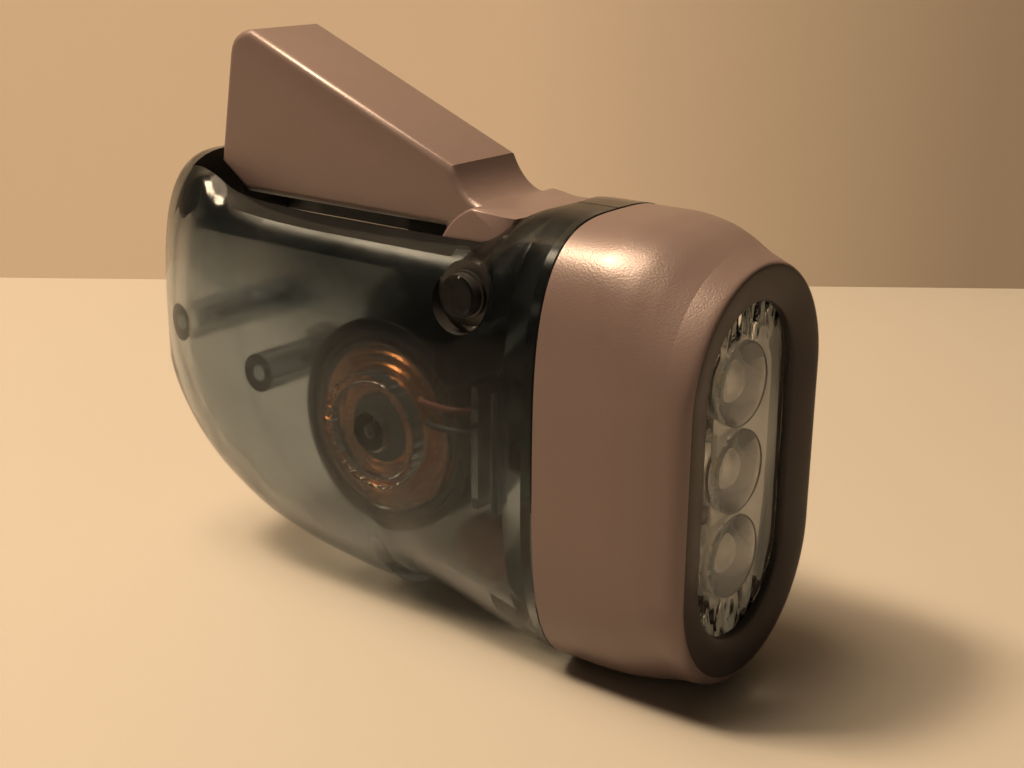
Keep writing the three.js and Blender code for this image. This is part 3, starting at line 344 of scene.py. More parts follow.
def half_of(piece, name, side):
    """Keeps one side of a piece, cut along the seam."""
    half = copied(piece, name)
    low, high = sorted((side * SEAM, side * HALF * 2))
    keep = block("keep", (REAR_X * 2, low, -HEIGHT), (FRONT_X * 2, high, HEIGHT * 2))
    return combine(half, keep, "INTERSECT")


def wire(name, points, radius, steps=12, sides=12, straight=False):
    """A round wire along a smooth path, made a mesh."""
    bpy.ops.object.select_all(action="DESELECT")
    bpy.ops.curve.primitive_bezier_curve_add()
    piece = bpy.context.object
    curve = piece.data
    curve.splines.clear()
    spline = curve.splines.new("POLY" if straight else "NURBS")
    spline.points.add(len(points) - 1)
    for point, spot in zip(spline.points, points):
        point.co = (*(Vector(spot) * MM), 1)
    if not straight:
        spline.order_u = 4
        spline.use_endpoint_u = True
        spline.resolution_u = steps
    curve.dimensions = "3D"
    curve.bevel_depth = radius * MM
    curve.bevel_resolution = max(0, sides // 4 - 1)
    curve.use_fill_caps = True
    only(piece)
    bpy.ops.object.convert(target="MESH")
    piece = bpy.context.object
    piece.name = piece.data.name = name
    merged(piece, 0.000002, outward=True)
    return smooth(piece, 60)


def coat(piece, finishes, choice=None):
    """Gives a piece its finishes. The choice, a number or a rule, says which one a face takes."""
    if not FINISH:
        mix_finishes()
    for finish in finishes:
        piece.data.materials.append(FINISH[finish])
    if choice is not None:
        for face in piece.data.polygons:
            face.material_index = choice(face) if callable(choice) else choice
    return piece


def dress(piece, finish, body, node=None, angle=None):
    """Smooths and coats a finished piece, puts it under its body's empty and hides the node that it stands
    for.
    """
    if angle:
        smooth(piece, angle)
    if finish:
        piece.data.materials.clear()
        coat(piece, (finish,))
    if body:
        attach(piece, body)
    if node:
        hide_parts(node)
    return piece


# Outlines


def between(x, table):
    """A smooth value at x through a table of (x, values) rows, with no overshoot."""
    k = max(i for i in range(len(table)) if table[i][0] <= x) if x > table[0][0] else 0
    k = min(k, len(table) - 2)
    left, right = table[k], table[k + 1]
    span = right[0] - left[0]
    t = min(max((x - left[0]) / span, 0), 1)

    def rise(i, n):
        return (table[i + 1][n] - table[i][n]) / (table[i + 1][0] - table[i][0])

    def lean(i, n):
        if i <= 0 or i >= len(table) - 1:
            return rise(min(max(i, 0), len(table) - 2), n)
        a, b = rise(i - 1, n), rise(i, n)
        return 0.0 if a * b <= 0 else 2 * a * b / (a + b)

    start, start_lean = 2 * t**3 - 3 * t**2 + 1, t**3 - 2 * t**2 + t
    end, end_lean = -2 * t**3 + 3 * t**2, t**3 - t**2
    return [
        start * left[n] + start_lean * span * lean(k, n) + end * right[n] + end_lean * span * lean(k + 1, n)
        for n in range(1, len(left))
    ]


def middle_of(side, bottom, top, centre=HEIGHT / 2):
    """The height at which a ring is widest."""
    return min(max(centre, bottom + side * 0.4), top - side * 0.4)


def section(x, side, bottom, top, low_power, round_share=0, inset=0.0, count=96):
    """One ring of the case in a plane across X."""
    centre = HEIGHT / 2 * (1 - round_share) + (top + bottom) / 2 * round_share
    middle = middle_of(side, bottom, top, centre)
    width = side - inset
    ring = []
    for i in range(count):
        turn = i / count * math.tau
        up, out = math.sin(turn), math.cos(turn)
        power = SKIN_POWER if up > 0 else low_power
        reach = (top - middle if up > 0 else middle - bottom) - inset
        square_y = width * math.copysign(abs(out) ** (2 / power), out)
        square_z = middle + reach * math.copysign(abs(up) ** (2 / power), up)
        round_z = middle + math.copysign(reach - width, up) + width * up
        y = square_y * (1 - round_share) + width * out * round_share
        z = square_z * (1 - round_share) + round_z * round_share
        ring.append((x, y, z))
    return ring


def case_table():
    rows = []
    for along, bottom, top, side in TAIL:
        x = REAR_X + along * (STEP_X - REAR_X)
        rows.append((x, side * HALF, bottom * HEIGHT - REST_CUT, top * HEIGHT, 2.3))
    for along, bottom, top in FRONT:
        x = STEP_X + along * (JOINT_X - STEP_X)
        rows.append((x, HALF, bottom * STEP_RISE - REST_CUT, SLOT_FLOOR + top * HORN_RISE, 2.3 + along))
    return rows


def case_rings(inset=0.0, from_x=REAR_X, to_x=JOINT_X):
    """Rings along the case. With an inset, the same rings are drawn in and moved along."""
    table = case_table()
    stops = []
    for left, right in zip(table, table[1:]):
        steps = max(1, round((right[0] - left[0]) / 1.3))
        stops += [left[0] + (right[0] - left[0]) * i / steps for i in range(steps)]
    stops.append(table[-1][0])
    rings = []
    for x in stops:
        moved = from_x + (x - REAR_X) / (JOINT_X - REAR_X) * (to_x - from_x)
        rings.append(section(moved, *between(x, table), 0, inset))
    return rings


def skin_reach(x, z, radius, margin):
    """How far out a round boss may go before it meets the case's outer face."""
    table = case_table()
    reaches = []
    for i in range(12):
        spot, height = around((x, z), radius, i / 12 * math.tau)
        side, bottom, top, low_power = between(spot, table)
        middle = middle_of(side, bottom, top)
        power = SKIN_POWER if height > middle else low_power
        share = abs(height - middle) / (top - middle if height > middle else middle - bottom)
        reaches.append(side * (1 - min(share, 1) ** power) ** (1 / power))
    return min(reaches) - margin


def slot_outline(extra):
    """The lever slot in plan, with its round front end."""
    outline = [(SLOT_REAR - extra, -SLOT_HALF - extra)]
    for i in range(25):
        turn = -math.pi / 2 + i / 24 * math.pi
        x = PIVOT[0] + 0.8 + (SLOT_NOSE + extra) * math.cos(turn)
        outline.append((x, (SLOT_HALF + extra) * math.sin(turn)))
    return outline + [(SLOT_REAR - extra, SLOT_HALF + extra)]


def upright_oval(half_width, half_height, centre, count=96):
    """A window-shaped ring in Y and Z."""
    spots = []
    for i in range(count):
        turn = (i + 0.5) / count * math.tau
        lift = math.copysign(half_height - half_width, math.sin(turn))
        spots.append((half_width * math.cos(turn), centre + lift + half_width * math.sin(turn)))
    return spots


# Materials


def blank(name):
    material = bpy.data.materials.new(name)
    material.use_nodes = True
    tree = material.node_tree
    return material, tree, tree.nodes["Principled BSDF"]


def object_place(tree):
    return tree.nodes.new("ShaderNodeTexCoord").outputs["Object"]


def axes(tree):
    """The X, Y and Z of a point in the piece's own coordinates."""
    split = tree.nodes.new("ShaderNodeSeparateXYZ")
    tree.links.new(object_place(tree), split.inputs["Vector"])
    return split.outputs


def sum_of(tree, operation, *values, clamp=False):
    """One calculation with sockets and plain numbers."""
    step = tree.nodes.new("ShaderNodeMath")
    step.operation = operation
    step.use_clamp = clamp
    for socket, value in zip(step.inputs, values):
        if isinstance(value, bpy.types.NodeSocket):
            tree.links.new(value, socket)
        else:
            socket.default_value = value
    return step.outputs["Value"]


def noise(tree, scale, detail, stretch=None):
    source = object_place(tree)
    if stretch:
        turn = tree.nodes.new("ShaderNodeMapping")
        turn.inputs["Scale"].default_value = stretch
        tree.links.new(source, turn.inputs["Vector"])
        source = turn.outputs["Vector"]
    pattern = tree.nodes.new("ShaderNodeTexNoise")
    pattern.inputs["Scale"].default_value = scale
    pattern.inputs["Detail"].default_value = detail
    tree.links.new(source, pattern.inputs["Vector"])
    return pattern.outputs["Fac"]


def spread(tree, source, low, high, start=0.3, end=0.7):
    """A pattern's value brought into a range."""
    fit = tree.nodes.new("ShaderNodeMapRange")
    for socket, value in (("From Min", start), ("From Max", end), ("To Min", low), ("To Max", high)):
        fit.inputs[socket].default_value = value
    tree.links.new(source, fit.inputs["Value"])
    return fit.outputs["Result"]


def two_tone(tree, source, first, second):
    mix = tree.nodes.new("ShaderNodeMix")
    mix.data_type = "RGBA"
    mix.inputs["A"].default_value = (*first, 1)
    mix.inputs["B"].default_value = (*second, 1)
    tree.links.new(source, mix.inputs["Factor"])
    return mix.outputs["Result"]


def grain(tree, shader, height, depth, distance=0.0002):
    """Fine relief. Its depth is a number or a socket."""
    bump = tree.nodes.new("ShaderNodeBump")
    bump.inputs["Distance"].default_value = distance
    if isinstance(depth, bpy.types.NodeSocket):
        tree.links.new(depth, bump.inputs["Strength"])
    else:
        bump.inputs["Strength"].default_value = depth
    tree.links.new(height, bump.inputs["Height"])
    tree.links.new(bump.outputs["Normal"], shader.inputs["Normal"])


def split_surface(tree, share, first, second):
    """Sends a mix of two shaders to the surface."""
    mix = tree.nodes.new("ShaderNodeMixShader")
    tree.links.new(share, mix.inputs["Fac"])
    tree.links.new(first.outputs["BSDF"], mix.inputs[1])
    tree.links.new(second.outputs["BSDF"], mix.inputs[2])
    tree.links.new(mix.outputs["Shader"], tree.nodes["Material Output"].inputs["Surface"])


def surface(name, colour, shade, tone_scale, roughness, wear, grain_scale, depth, stretch=None, fixed=None):
    """A finish whose tone drifts a little, with uneven gloss and a fine grain."""
    material, tree, shader = blank(name)
    drift = noise(tree, tone_scale, 4)
    darker = tuple(c * shade for c in colour)
    tree.links.new(two_tone(tree, spread(tree, drift, 0, 1), darker, colour), shader.inputs["Base Color"])
    gloss = noise(tree, tone_scale * 3, 3, stretch)
    rough = spread(tree, gloss, max(roughness - wear, 0.03), min(roughness + wear, 1))
    tree.links.new(rough, shader.inputs["Roughness"])
    if depth:
        grain(tree, shader, noise(tree, grain_scale, 2, stretch), depth)
    for socket, value in (fixed or {}).items():
        shader.inputs[socket].default_value = value
    return material


def see_through(name, tint, roughness, lamp_tint, bump_scale, ior=1.47, bump_depth=0.0, shaded_tint=None,
                haze=0.0, ends=False, shine=1.0):
    """Clear or smoky plastic. The stage's light falls through it with a plain tint."""
    material, tree, shader = blank(name)
    drift = noise(tree, 45, 3)
    # Painted shade, in part: the colour darkens towards the top and front, for the unlit parts seen through
    # the wall
    if shaded_tint:
        spot = axes(tree)
        forward = sum_of(tree, "MULTIPLY_ADD", spot["X"], PAINTED_SHADE_LEAN, spot["Z"])
        height = spread(tree, forward, 0, 1, *PAINTED_SHADE_RANGE)
        tone = sum_of(tree, "ADD", height, spread(tree, drift, -0.15, 0.15), clamp=True)
        colour = two_tone(tree, tone, tint, shaded_tint)
    else:
        colour = two_tone(tree, spread(tree, drift, 0, 1), tuple(c * 0.93 for c in tint), tint)
    tree.links.new(colour, shader.inputs["Base Color"])
    shader.inputs["Transmission Weight"].default_value = 1.0 - haze
    shader.inputs["Specular Tint"].default_value = (shine, shine, shine, 1)
    shader.inputs["IOR"].default_value = ior
    rough = spread(tree, noise(tree, bump_scale * 0.3, 3), max(roughness * 0.8, 0.01), roughness * 1.2)
    tree.links.new(rough, shader.inputs["Roughness"])
    if ends:
        off = sum_of(tree, "SUBTRACT", axes(tree)["Z"], WINDOW_CENTRE * MM)
        depth = spread(tree, sum_of(tree, "ABSOLUTE", off), 0, 1, *CRINKLE_RANGE)
        grain(tree, shader, noise(tree, 240, 0.6, (1, 1.5, 0.8)), depth, 0.0022)
    elif bump_depth:
        grain(tree, shader, noise(tree, bump_scale, 3), bump_depth)
    film = tree.nodes.new("ShaderNodeBsdfTransparent")
    film.inputs["Color"].default_value = (*lamp_tint, 1)
    path = tree.nodes.new("ShaderNodeLightPath")
    split_surface(tree, path.outputs["Is Shadow Ray"], shader, film)
    return material


def colour_prop(name, description, default):
    return bpy.props.FloatVectorProperty(
        name=name, description=description, subtype="COLOR", size=3, min=0, max=1, default=default
    )


def number_prop(name, description, default, low, high):
    make = bpy.props.IntProperty if isinstance(default, int) else bpy.props.FloatProperty
    return make(name=name, description=description, default=default, min=low, max=high)


def power_prop(name, description, default):
    return bpy.props.FloatProperty(name=name, description=description, default=default, min=0, unit="POWER")


class TorchFinishes(bpy.types.PropertyGroup):
    # Painted shade, in part: the case goes from the low tint to the top tint towards its top and front,
    # standing partly for the unlit parts behind the wall and partly for a darker tint
    case_tint: colour_prop("Case tint", "What one smoky wall lets through low down", (0.475, 0.525, 0.555))
    case_shaded_tint: colour_prop("Case tint, top", "What one smoky wall lets through high up", (0.085, 0.105, 0.12))
    cover_colour: colour_prop("Lever and head", "Satin moulded plastic", (0.178, 0.127, 0.121))
    # Partly a darker plastic, partly painted shade: the bezel's front face turns away from the lights, and
    # its colour is darkened further for that
    bezel_colour: colour_prop("Bezel", "Darker satin plastic round the window", (0.037, 0.0265, 0.027))
    lens_tint: colour_prop("Lens", "Clear moulded block", (0.97, 0.97, 0.95))
    copper_colour: colour_prop("Winding", "Enamelled copper wire", (0.95, 0.38, 0.13))
    nylon_colour: colour_prop("Gears", "Natural nylon", (0.62, 0.58, 0.50))
    board_colour: colour_prop("Boards", "Green circuit board", (0.035, 0.12, 0.06))
    cell_colour: colour_prop("Cell sleeve", "Shrink sleeve round the storage cell", (0.20, 0.045, 0.03))
    gloss: number_prop("Case polish", "Roughness of the case's outer face", 0.1, 0.01, 0.5)
    frost: number_prop("Case frost", "Roughness of the case's inner face", 0.19, 0.01, 0.8)


class TorchSizes(bpy.types.PropertyGroup):
    lever_fillet: number_prop("Lever edges", "Radius of the lever's edges, in millimetres", 1.25, 0.2, 2)
    winding_turns: number_prop("Winding turns", "Turns of wire in each layer of the winding", 11, 6, 20)
    winding_layers: number_prop("Winding layers", "Layers of wire in the winding", 8, 2, 12)
    ring_marks: number_prop("Boss marks", "Small notches on the rim of the round boss", 30, 12, 60)


class TorchStage(bpy.types.PropertyGroup):
    floor_colour: colour_prop("Floor", "Plain table top", (0.41, 0.376, 0.335))
    wall_colour: colour_prop("Backdrop", "Plain wall behind", (0.29, 0.245, 0.195))
    key_power: power_prop("Key light", "Power of the soft light from the upper left", 10.6)
    top_power: power_prop("Top light", "Power of the wider light overhead", 4.5)
    room_power: power_prop("Room light", "Power of the weak low light before the window", 0.36)


# The case's colour gets darker over this range of 0.3 X + Z, in metres, towards its top and front: partly
# painted shade of the unlit parts behind the wall, partly a darker tint
PAINTED_SHADE_LEAN = 0.3
PAINTED_SHADE_RANGE = (0.035, 0.050)
# The window's crinkled ends start and are full this far from its centre, in metres
CRINKLE_RANGE = (0.0168, 0.0195)

# Each opaque finish: name, colour or the name of its setting, share of it in the darker tone, scale of the
# tones, roughness and its drift, scale and depth of the grain, then sockets with a fixed value
OPAQUE = {
    "white_board": ("white_board", (0.82, 0.80, 0.76), 0.9, 260, 0.4, 0.08, 1600, 0.06,
                    {"Coat Weight": 0.3, "Coat Roughness": 0.15}),
    "cover": ("taupe_satin", "cover_colour", 0.95, 35, 0.36, 0.04, 3600, 0.17,
              {"Metallic": 0.2, "Specular IOR Level": 0.5, "Coat Weight": 0.12, "Coat Roughness": 0.25}),
    # The bezel's colour holds painted shade in part, for its front face turned from the lights
    "bezel": ("bezel_satin", "bezel_colour", 0.9, 35, 0.42, 0.05, 3600, 0.15, {"Specular IOR Level": 0.25}),
    "phosphor": ("lamp_phosphor", (0.85, 0.70, 0.18), 0.85, 900, 0.5, 0.05, 4000, 0.1, {}),
    "steel": ("plain_steel", (0.55, 0.54, 0.52), 0.85, 120, 0.3, 0.1, 1800, 0.1, {"Metallic": 1.0}),
    "dark_steel": ("dark_steel", (0.035, 0.03, 0.027), 0.75, 120, 0.36, 0.1, 1500, 0.14, {"Metallic": 0.85}),
    "ferrite": ("ring_ferrite", (0.035, 0.032, 0.03), 0.7, 400, 0.65, 0.1, 2600, 0.3, {}),
    "copper": ("enamelled_copper", "copper_colour", 0.7, 500, 0.3, 0.08, 3000, 0.05,
               {"Metallic": 0.9, "Coat Weight": 0.6, "Coat Roughness": 0.12}),
    "nylon": ("natural_nylon", "nylon_colour", 0.9, 120, 0.45, 0.08, 2600, 0.1, {}),
    "black": ("black_moulding", (0.022, 0.021, 0.021), 0.75, 160, 0.42, 0.1, 2600, 0.16, {}),
    "board": ("circuit_green", "board_colour", 0.7, 260, 0.38, 0.08, 1600, 0.12,
              {"Coat Weight": 0.4, "Coat Roughness": 0.15}),
    "brass": ("cut_brass", (0.60, 0.42, 0.16), 0.85, 200, 0.28, 0.08, 1800, 0.08, {"Metallic": 1.0}),
    "sleeve": ("shrink_sleeve", "cell_colour", 0.8, 150, 0.25, 0.06, 900, 0.08,
               {"Coat Weight": 0.4, "Coat Roughness": 0.1}),
    "red": ("red_sleeving", (0.20, 0.045, 0.025), 0.8, 300, 0.4, 0.08, 2600, 0.06, {}),
    "dark": ("black_sleeving", (0.02, 0.02, 0.02), 0.7, 300, 0.4, 0.08, 2600, 0.06, {}),
    "solder": ("solder", (0.62, 0.62, 0.60), 0.9, 500, 0.22, 0.08, 3000, 0.08, {"Metallic": 1.0}),
    "chrome": ("bright_plating", (0.80, 0.79, 0.76), 0.92, 300, 0.1, 0.05, 900, 0.03, {"Metallic": 1.0}),
}
# Finishes whose grain is drawn out along one axis
BRUSHED = {"steel": (1, 12, 1)}
FINISH = {}
SMOKY = ("case", "frost")
# The case's two finishes, with black as painted shade on the slot's walls, the pin's dishes and the sides of
# its caps
SMOKY_AND_PAINTED_SHADE = ("case", "frost", "black")


def mix_finishes():
    """Mixes every material, from the settings in the sidebar."""
    f = bpy.context.scene.torch_finishes
    smoke = (0.6, 0.6, 0.59)
    clear = (0.97, 0.97, 0.96)
    lens, shaded_tint = tuple(f.lens_tint), tuple(f.case_shaded_tint)
    for key, name, rough, scale, haze, shine in (
        ("case", "smoky_polished", f.gloss, 260, 0.03, 0.12),
        ("frost", "smoky_frosted", f.frost, 900, 0.02, 0.03),
    ):
        FINISH[key] = see_through(name, f.case_tint, rough, smoke, scale, shaded_tint=shaded_tint, haze=haze, shine=shine)
    FINISH["bobbin"] = see_through("bobbin_clear", (0.88, 0.86, 0.82), 0.08, (0.9, 0.88, 0.84), 300)
    FINISH["etched"] = see_through("lens_etched", lens, 0.42, clear, 700, 1.49, haze=0.16)
    FINISH["lens"] = see_through("lens_clear", lens, 0.02, clear, 700, 1.49, ends=True)
    FINISH["epoxy"] = see_through("lamp_epoxy", (0.95, 0.95, 0.92), 0.03, (0.95, 0.95, 0.93), 900, 1.5, 0.02)
    for key, (name, colour, *values, fixed) in OPAQUE.items():
        colour = tuple(getattr(f, colour)) if isinstance(colour, str) else colour
        FINISH[key] = surface(name, colour, *values, BRUSHED.get(key), fixed)


def case_growths(side, marks):
    """Bosses, pillars and ribs inside one case half."""

    def across(low, high):
        return (low, high) if side > 0 else (-high, -low)

    root = INNER_WALL + 0.8
    found = [rod("boss", PIVOT, 4.6, *across(10.1, root), 40)]
    for spot in PILLARS.values():
        found.append(rod("pillar", spot, PILLAR_RADIUS, *across(SEAM, skin_reach(*spot, PILLAR_RADIUS, 0.5))))
    found.append(rod("horn", HORN_BOSS, HORN_RADIUS, *across(10.8, skin_reach(*HORN_BOSS, HORN_RADIUS, 0.5))))
    for x in (BOARD_X - GAP - 1.2, BOARD_X + 1.6 + GAP):
        low, high = across(11.8, INNER_WALL + 0.5)
        found.append(block("rib", (x, low, 23.2), (x + 1.2, high, 40.8)))
    if side > 0:
        for spot, start in ((FIRST_SHAFT, 4.65), (SECOND_SHAFT, 7.75), (ROTOR, 7.75)):
            found.append(rod("stub", spot, 2.4, start, root))
        return found
    # The ring boss round the rotor's bearing, with small notches round its rim
    count = marks * 4
    rings = []
    for radius, y in ((7.3, 18.2), (8.7, 18.2), (8.7, 14.95), (8.55, 14.826), (7.45, 14.826), (7.3, 14.95)):
        ring = []
        for i in range(count):
            notch = 0.3 if radius > 8 and i % 4 == 0 else 0
            x, z = around(ROTOR, radius - notch, i / count * math.tau)
            ring.append((x, -y, z))
        rings.append(ring)
    found.append(loft("ring", rings, cap=False, closed=True))
    found.append(rod("bearing", ROTOR, 2.9, -root, -9.6, 40))
    return found


def case_holes(side):
    """The lever pin's dish, and the screw and shaft holes of one case half."""
    floor = DISH_FLOOR * side
    dish = [(2.15, 0), (2.15, floor), (5.1, floor), (5.1, (HALF + 4) * side)]
    found = [turned("dish", dish, PIVOT)]
    if side > 0:
        for spot in PILLARS.values():
            found.append(rod("bore", spot, 1.1, 0, 6, 24))
            found.append(rod("seat", spot, 2.25, 5.4, HALF + 4))
        for spot in (FIRST_SHAFT, SECOND_SHAFT, ROTOR):
            found.append(rod("bore", spot, SHAFT_BORE, 0, 14.9, 24))
    else:
        for spot in PILLARS.values():
            found.append(rod("bore", spot, 1.25, -skin_reach(*spot, PILLAR_RADIUS, 2.2), 0, 24))
        found.append(rod("bore", ROTOR, SHAFT_BORE, -16.9, 0, 24))
    return found


class TORCH_OT_case(bpy.types.Operator):
    """Both smoky halves of the case, with their pillars, bosses and slot walls"""

    bl_idname = "torch.case"
    bl_label = "Case halves"

    def execute(self, context):
        skin = coat(loft("case_skin", case_rings()), SMOKY_AND_PAINTED_SHADE)
        hollow = coat(loft("case_hollow", case_rings(WALL, REAR_X + WALL, JOINT_X + 2)), SMOKY, 1)
        cheek = prism("cheek", slot_outline(CHEEK), CHEEK_FOOT, HEIGHT + 4, "Z")
        cut(cheek, block("cheek_end", (PIVOT[0] - 5.8, -HALF * 2, 0), (FRONT_X, HALF * 2, HEIGHT * 2)))
        cut(hollow, cheek)
        sleeve = [(JOINT_X - 6.4, 1.3), (JOINT_X - GAP, 0.95), (JOINT_X - GAP, 2.2), (JOINT_X + 4, 2.2),
                  (JOINT_X + 4, 3.7), (JOINT_X - 3.2, 3.7)]
        rings = [section(x, HALF, 0, HEIGHT, SKIN_POWER, 0, inset) for x, inset in sleeve]
        collar = coat(loft("collar", rings, cap=False, closed=True), SMOKY, 1)
        # Painted shade: the slot's walls take the black finish, so the gap round the lever reads dark
        slot = coat(prism("slot", slot_outline(0), CHEEK_FOOT - 2, HEIGHT + 8, "Z"), SMOKY_AND_PAINTED_SHADE, 2)
        cut(skin, hollow, slot, ground())
        add(skin, collar)
        for side, node, name in ((-1, "left_shell", "left_case"), (1, "right_shell", "right_case")):
            half = half_of(skin, name, side)
            for tool in case_growths(side, context.scene.torch_sizes.ring_marks):
                add(half, coat(tool, SMOKY, 0 if tool.name.startswith("ring") else 1))
            # Painted shade: each dish's faces take the black finish, so the groove round the pin's cap reads
            # dark; the bores and seats stay frosted
            for tool in case_holes(side):
                cut(half, coat(tool, SMOKY_AND_PAINTED_SHADE, 2 if tool.name.startswith("dish") else 1))
            # The pin's cap: its end stays smoky, and its sides take the black finish as painted shade in the
            # groove
            profile = [(3.3, 15.4), (3.3, 16.25), (3.0, 16.3), (3.0, 17.9), (2.75, 18.15)]
            cap = turned("cap", [(radius, y * side) for radius, y in profile], PIVOT)
            add(half, coat(cap, SMOKY_AND_PAINTED_SHADE, lambda face: 0 if abs(face.center.y) > 17.95 * MM else 2))
            dress(half, None, "case", node, 35)
        bpy.data.objects.remove(skin, do_unlink=True)
        return {"FINISHED"}


class TORCH_OT_head(bpy.types.Operator):
    """Satin head housing that carries the window"""

    bl_idname = "torch.head"
    bl_label = "Head housing"

    def execute(self, context):
        start, end = JOINT_X + GAP, 48.05
        steps = 26
        table = [
            (start + a * (end - start), s * HALF, b * 0.9 - REST_CUT, t * HEIGHT, r) for a, t, s, b, r in HEAD
        ]

        def rings(inset, from_x, to_x):
            found = []
            for i in range(steps + 1):
                side, bottom, top, share = between(start + i / steps * (end - start), table)
                moved = from_x + i / steps * (to_x - from_x)
                low = bottom + (REST_CUT if inset else 0)
                found.append(section(moved, side, low, top, SKIN_POWER, share, inset, 120))
            return found

        finishes = ("cover", "white_board")
        cover = coat(loft("head_cover", rings(0, start, end)), finishes)
        hollow = coat(loft("hollow", rings(WALL, start - 2, end - WALL)), finishes, 1)
        window = prism("window", upright_oval(12.75, 25.05, WINDOW_CENTRE), end - WALL * 2, FRONT_X, "X")
        cut(cover, ground(), hollow, window)
        dress(cover, None, "case", "head_housing", 40)
        return {"FINISHED"}


class TORCH_OT_bezel(bpy.types.Operator):
    """Rounded dark bezel round the window"""

    bl_idname = "torch.bezel"
    bl_label = "Bezel"

    def execute(self, context):
        # Outer face: x, half width, top, bottom. Front: x, share of the way from its edge in to the bore.
        flank = [
            (48.04, 18.66, 60.98, 0.27), (49.0, 18.55, 60.6, 0.3), (49.9, 18.38, 60.22, 0.36),
            (50.6, 18.14, 59.98, 0.5), (51.1, 17.88, 59.8, 0.78), (51.45, 17.58, 59.67, 1.1),
            (51.66, 17.27, 59.53, 1.45), (51.75, 16.89, 59.34, 1.88),
        ]
        front = [
            (51.74, 0.26), (51.6, 0.45), (51.25, 0.7), (50.85, 0.92), (50.7, 0.975),
            (50.45, 1.0), (49.65, 1.0), (49.65, 0.79), (48.04, 0.79),
        ]
        # Half width, half height and centre
        edge, bore = (17.95, 29.7, 30.6), (11.35, 23.65, WINDOW_CENTRE)
        ovals = [(x, wide, (top - bottom) / 2, (top + bottom) / 2) for x, wide, top, bottom in flank]
        ovals += [(x, *(a + (b - a) * share for a, b in zip(edge, bore))) for x, share in front]
        rings = [[(x, y, z) for y, z in upright_oval(*oval, 144)] for x, *oval in ovals]

        def finish_of(face):
            x, y, z = face.center / MM
            # Faces of the bore, behind the front face, take the black finish; the rest of the front takes the
            # bezel's colour and the flank the head's
            inside = abs(y) < bore[0] + 0.05 and abs(z - WINDOW_CENTRE) < bore[1] + 0.05
            if inside and x < 50.55 and abs(face.normal.x) < 0.1:
                return 1
            return 2 if math.hypot(y, max(abs(z - edge[2]) - (edge[1] - edge[0]), 0)) > 17 else 0

        piece = coat(loft("bezel", rings, cap=False, closed=True), ("bezel", "black", "cover"), finish_of)
        dress(piece, None, "case", "bezel_ring", 50)
        return {"FINISHED"}


def quarter_turn(share, radius, base, rise):
    """A point on a dome's profile, from its foot to its top."""
    turn = share * math.pi / 2
    return radius * math.cos(turn), base + rise * math.sin(turn)


class TORCH_OT_lens(bpy.types.Operator):
    """Clear lens block: window pane with crinkled ends, three domes and their barrels"""

    bl_idname = "torch.lens"
    bl_label = "Lens block"

    def execute(self, context):
        finishes = ("lens", "etched")
        pane = prism("lens_block", upright_oval(12.45, 24.75, WINDOW_CENTRE), LENS_BACK, LENS_FACE, "X")
        rounded(pane, 0.25, 2)
        barrel = [(3.9, LENS_BACK - 7.6), (DOME_RADIUS, LENS_BACK), (DOME_RADIUS, LENS_FACE - 0.4)]
        barrel += [quarter_turn(i / 12, DOME_RADIUS, LENS_FACE, DOME_RISE) for i in range(12)]
        barrel.append((0.05, LENS_FACE + DOME_RISE))
        for z in LAMP_ROWS:
            add(pane, turned("barrel", barrel, (0, z), "X", 64))
        coat(pane, finishes, lambda face: 1 if face.center.x < (LENS_BACK - 0.05) * MM else 0)
        pocket = beyond(LENS_BACK, (2.85, -9.6), (2.85, -3.4), (2.4, -2.4), (1.4, -2.0))
        for z in LAMP_ROWS:
            cut(pane, coat(turned("pocket", pocket, (0, z), "X", 40), finishes, 1))
        dress(pane, None, "case", "lens_plate", 35)
        return {"FINISHED"}


class TORCH_OT_lamps(bpy.types.Operator):
    """Three round lamps: clear bodies, lead frames, cups and phosphor"""

    bl_idname = "torch.lamps"
    bl_label = "Lamps"

    def execute(self, context):
        x, radius = LAMP_BASE, 2.5
        body = beyond(x, (2.9, 0), (2.9, 1), (radius, 1), (radius, 5.7))
        body += [quarter_turn(i / 8, radius, x + 5.7, radius) for i in range(1, 8)]
        body.append((0.04, x + 8.2))
        cup = beyond(x, (0.5, 1.6), (0.9, 3.0), (1.15, 4.1), (1.0, 4.1), (0.55, 3.45), (0.05, 3.4))
        chip = beyond(x, (0.5, 3.46), (0.75, 3.75), (0.4, 3.95), (0.04, 4.0))
        for node, z in zip(("bottom_lamp", "middle_lamp", "top_lamp"), LAMP_ROWS):
            piece = turned(node + "_body", body, (0, z), "X", 40)
            dress(piece, "epoxy", "case", node, 35)
            leg = block(node + "_leg", (x + 0.4, -1.5, z - 0.25), (x + 3.6, -0.9, z + 0.25))
            piece = join(node + "_frame", [turned(node + "_cup", cup, (0, z), "X", 24), leg])
            dress(piece, "chrome", "case", None, 35)
            dress(turned(node + "_chip", chip, (0, z), "X", 20), "phosphor", "case", None, 60)
        return {"FINISHED"}


def pulled(start, pull, end, steps, first):
    """Points on a curve from one place to another, drawn towards a third."""
    spots = []
    for i in range(first, steps + 1):
        t = i / steps
        spots.append(
            tuple((1 - t) ** 2 * a + 2 * t * (1 - t) * b + t * t * c for a, b, c in zip(start, pull, end))
        )
    return spots


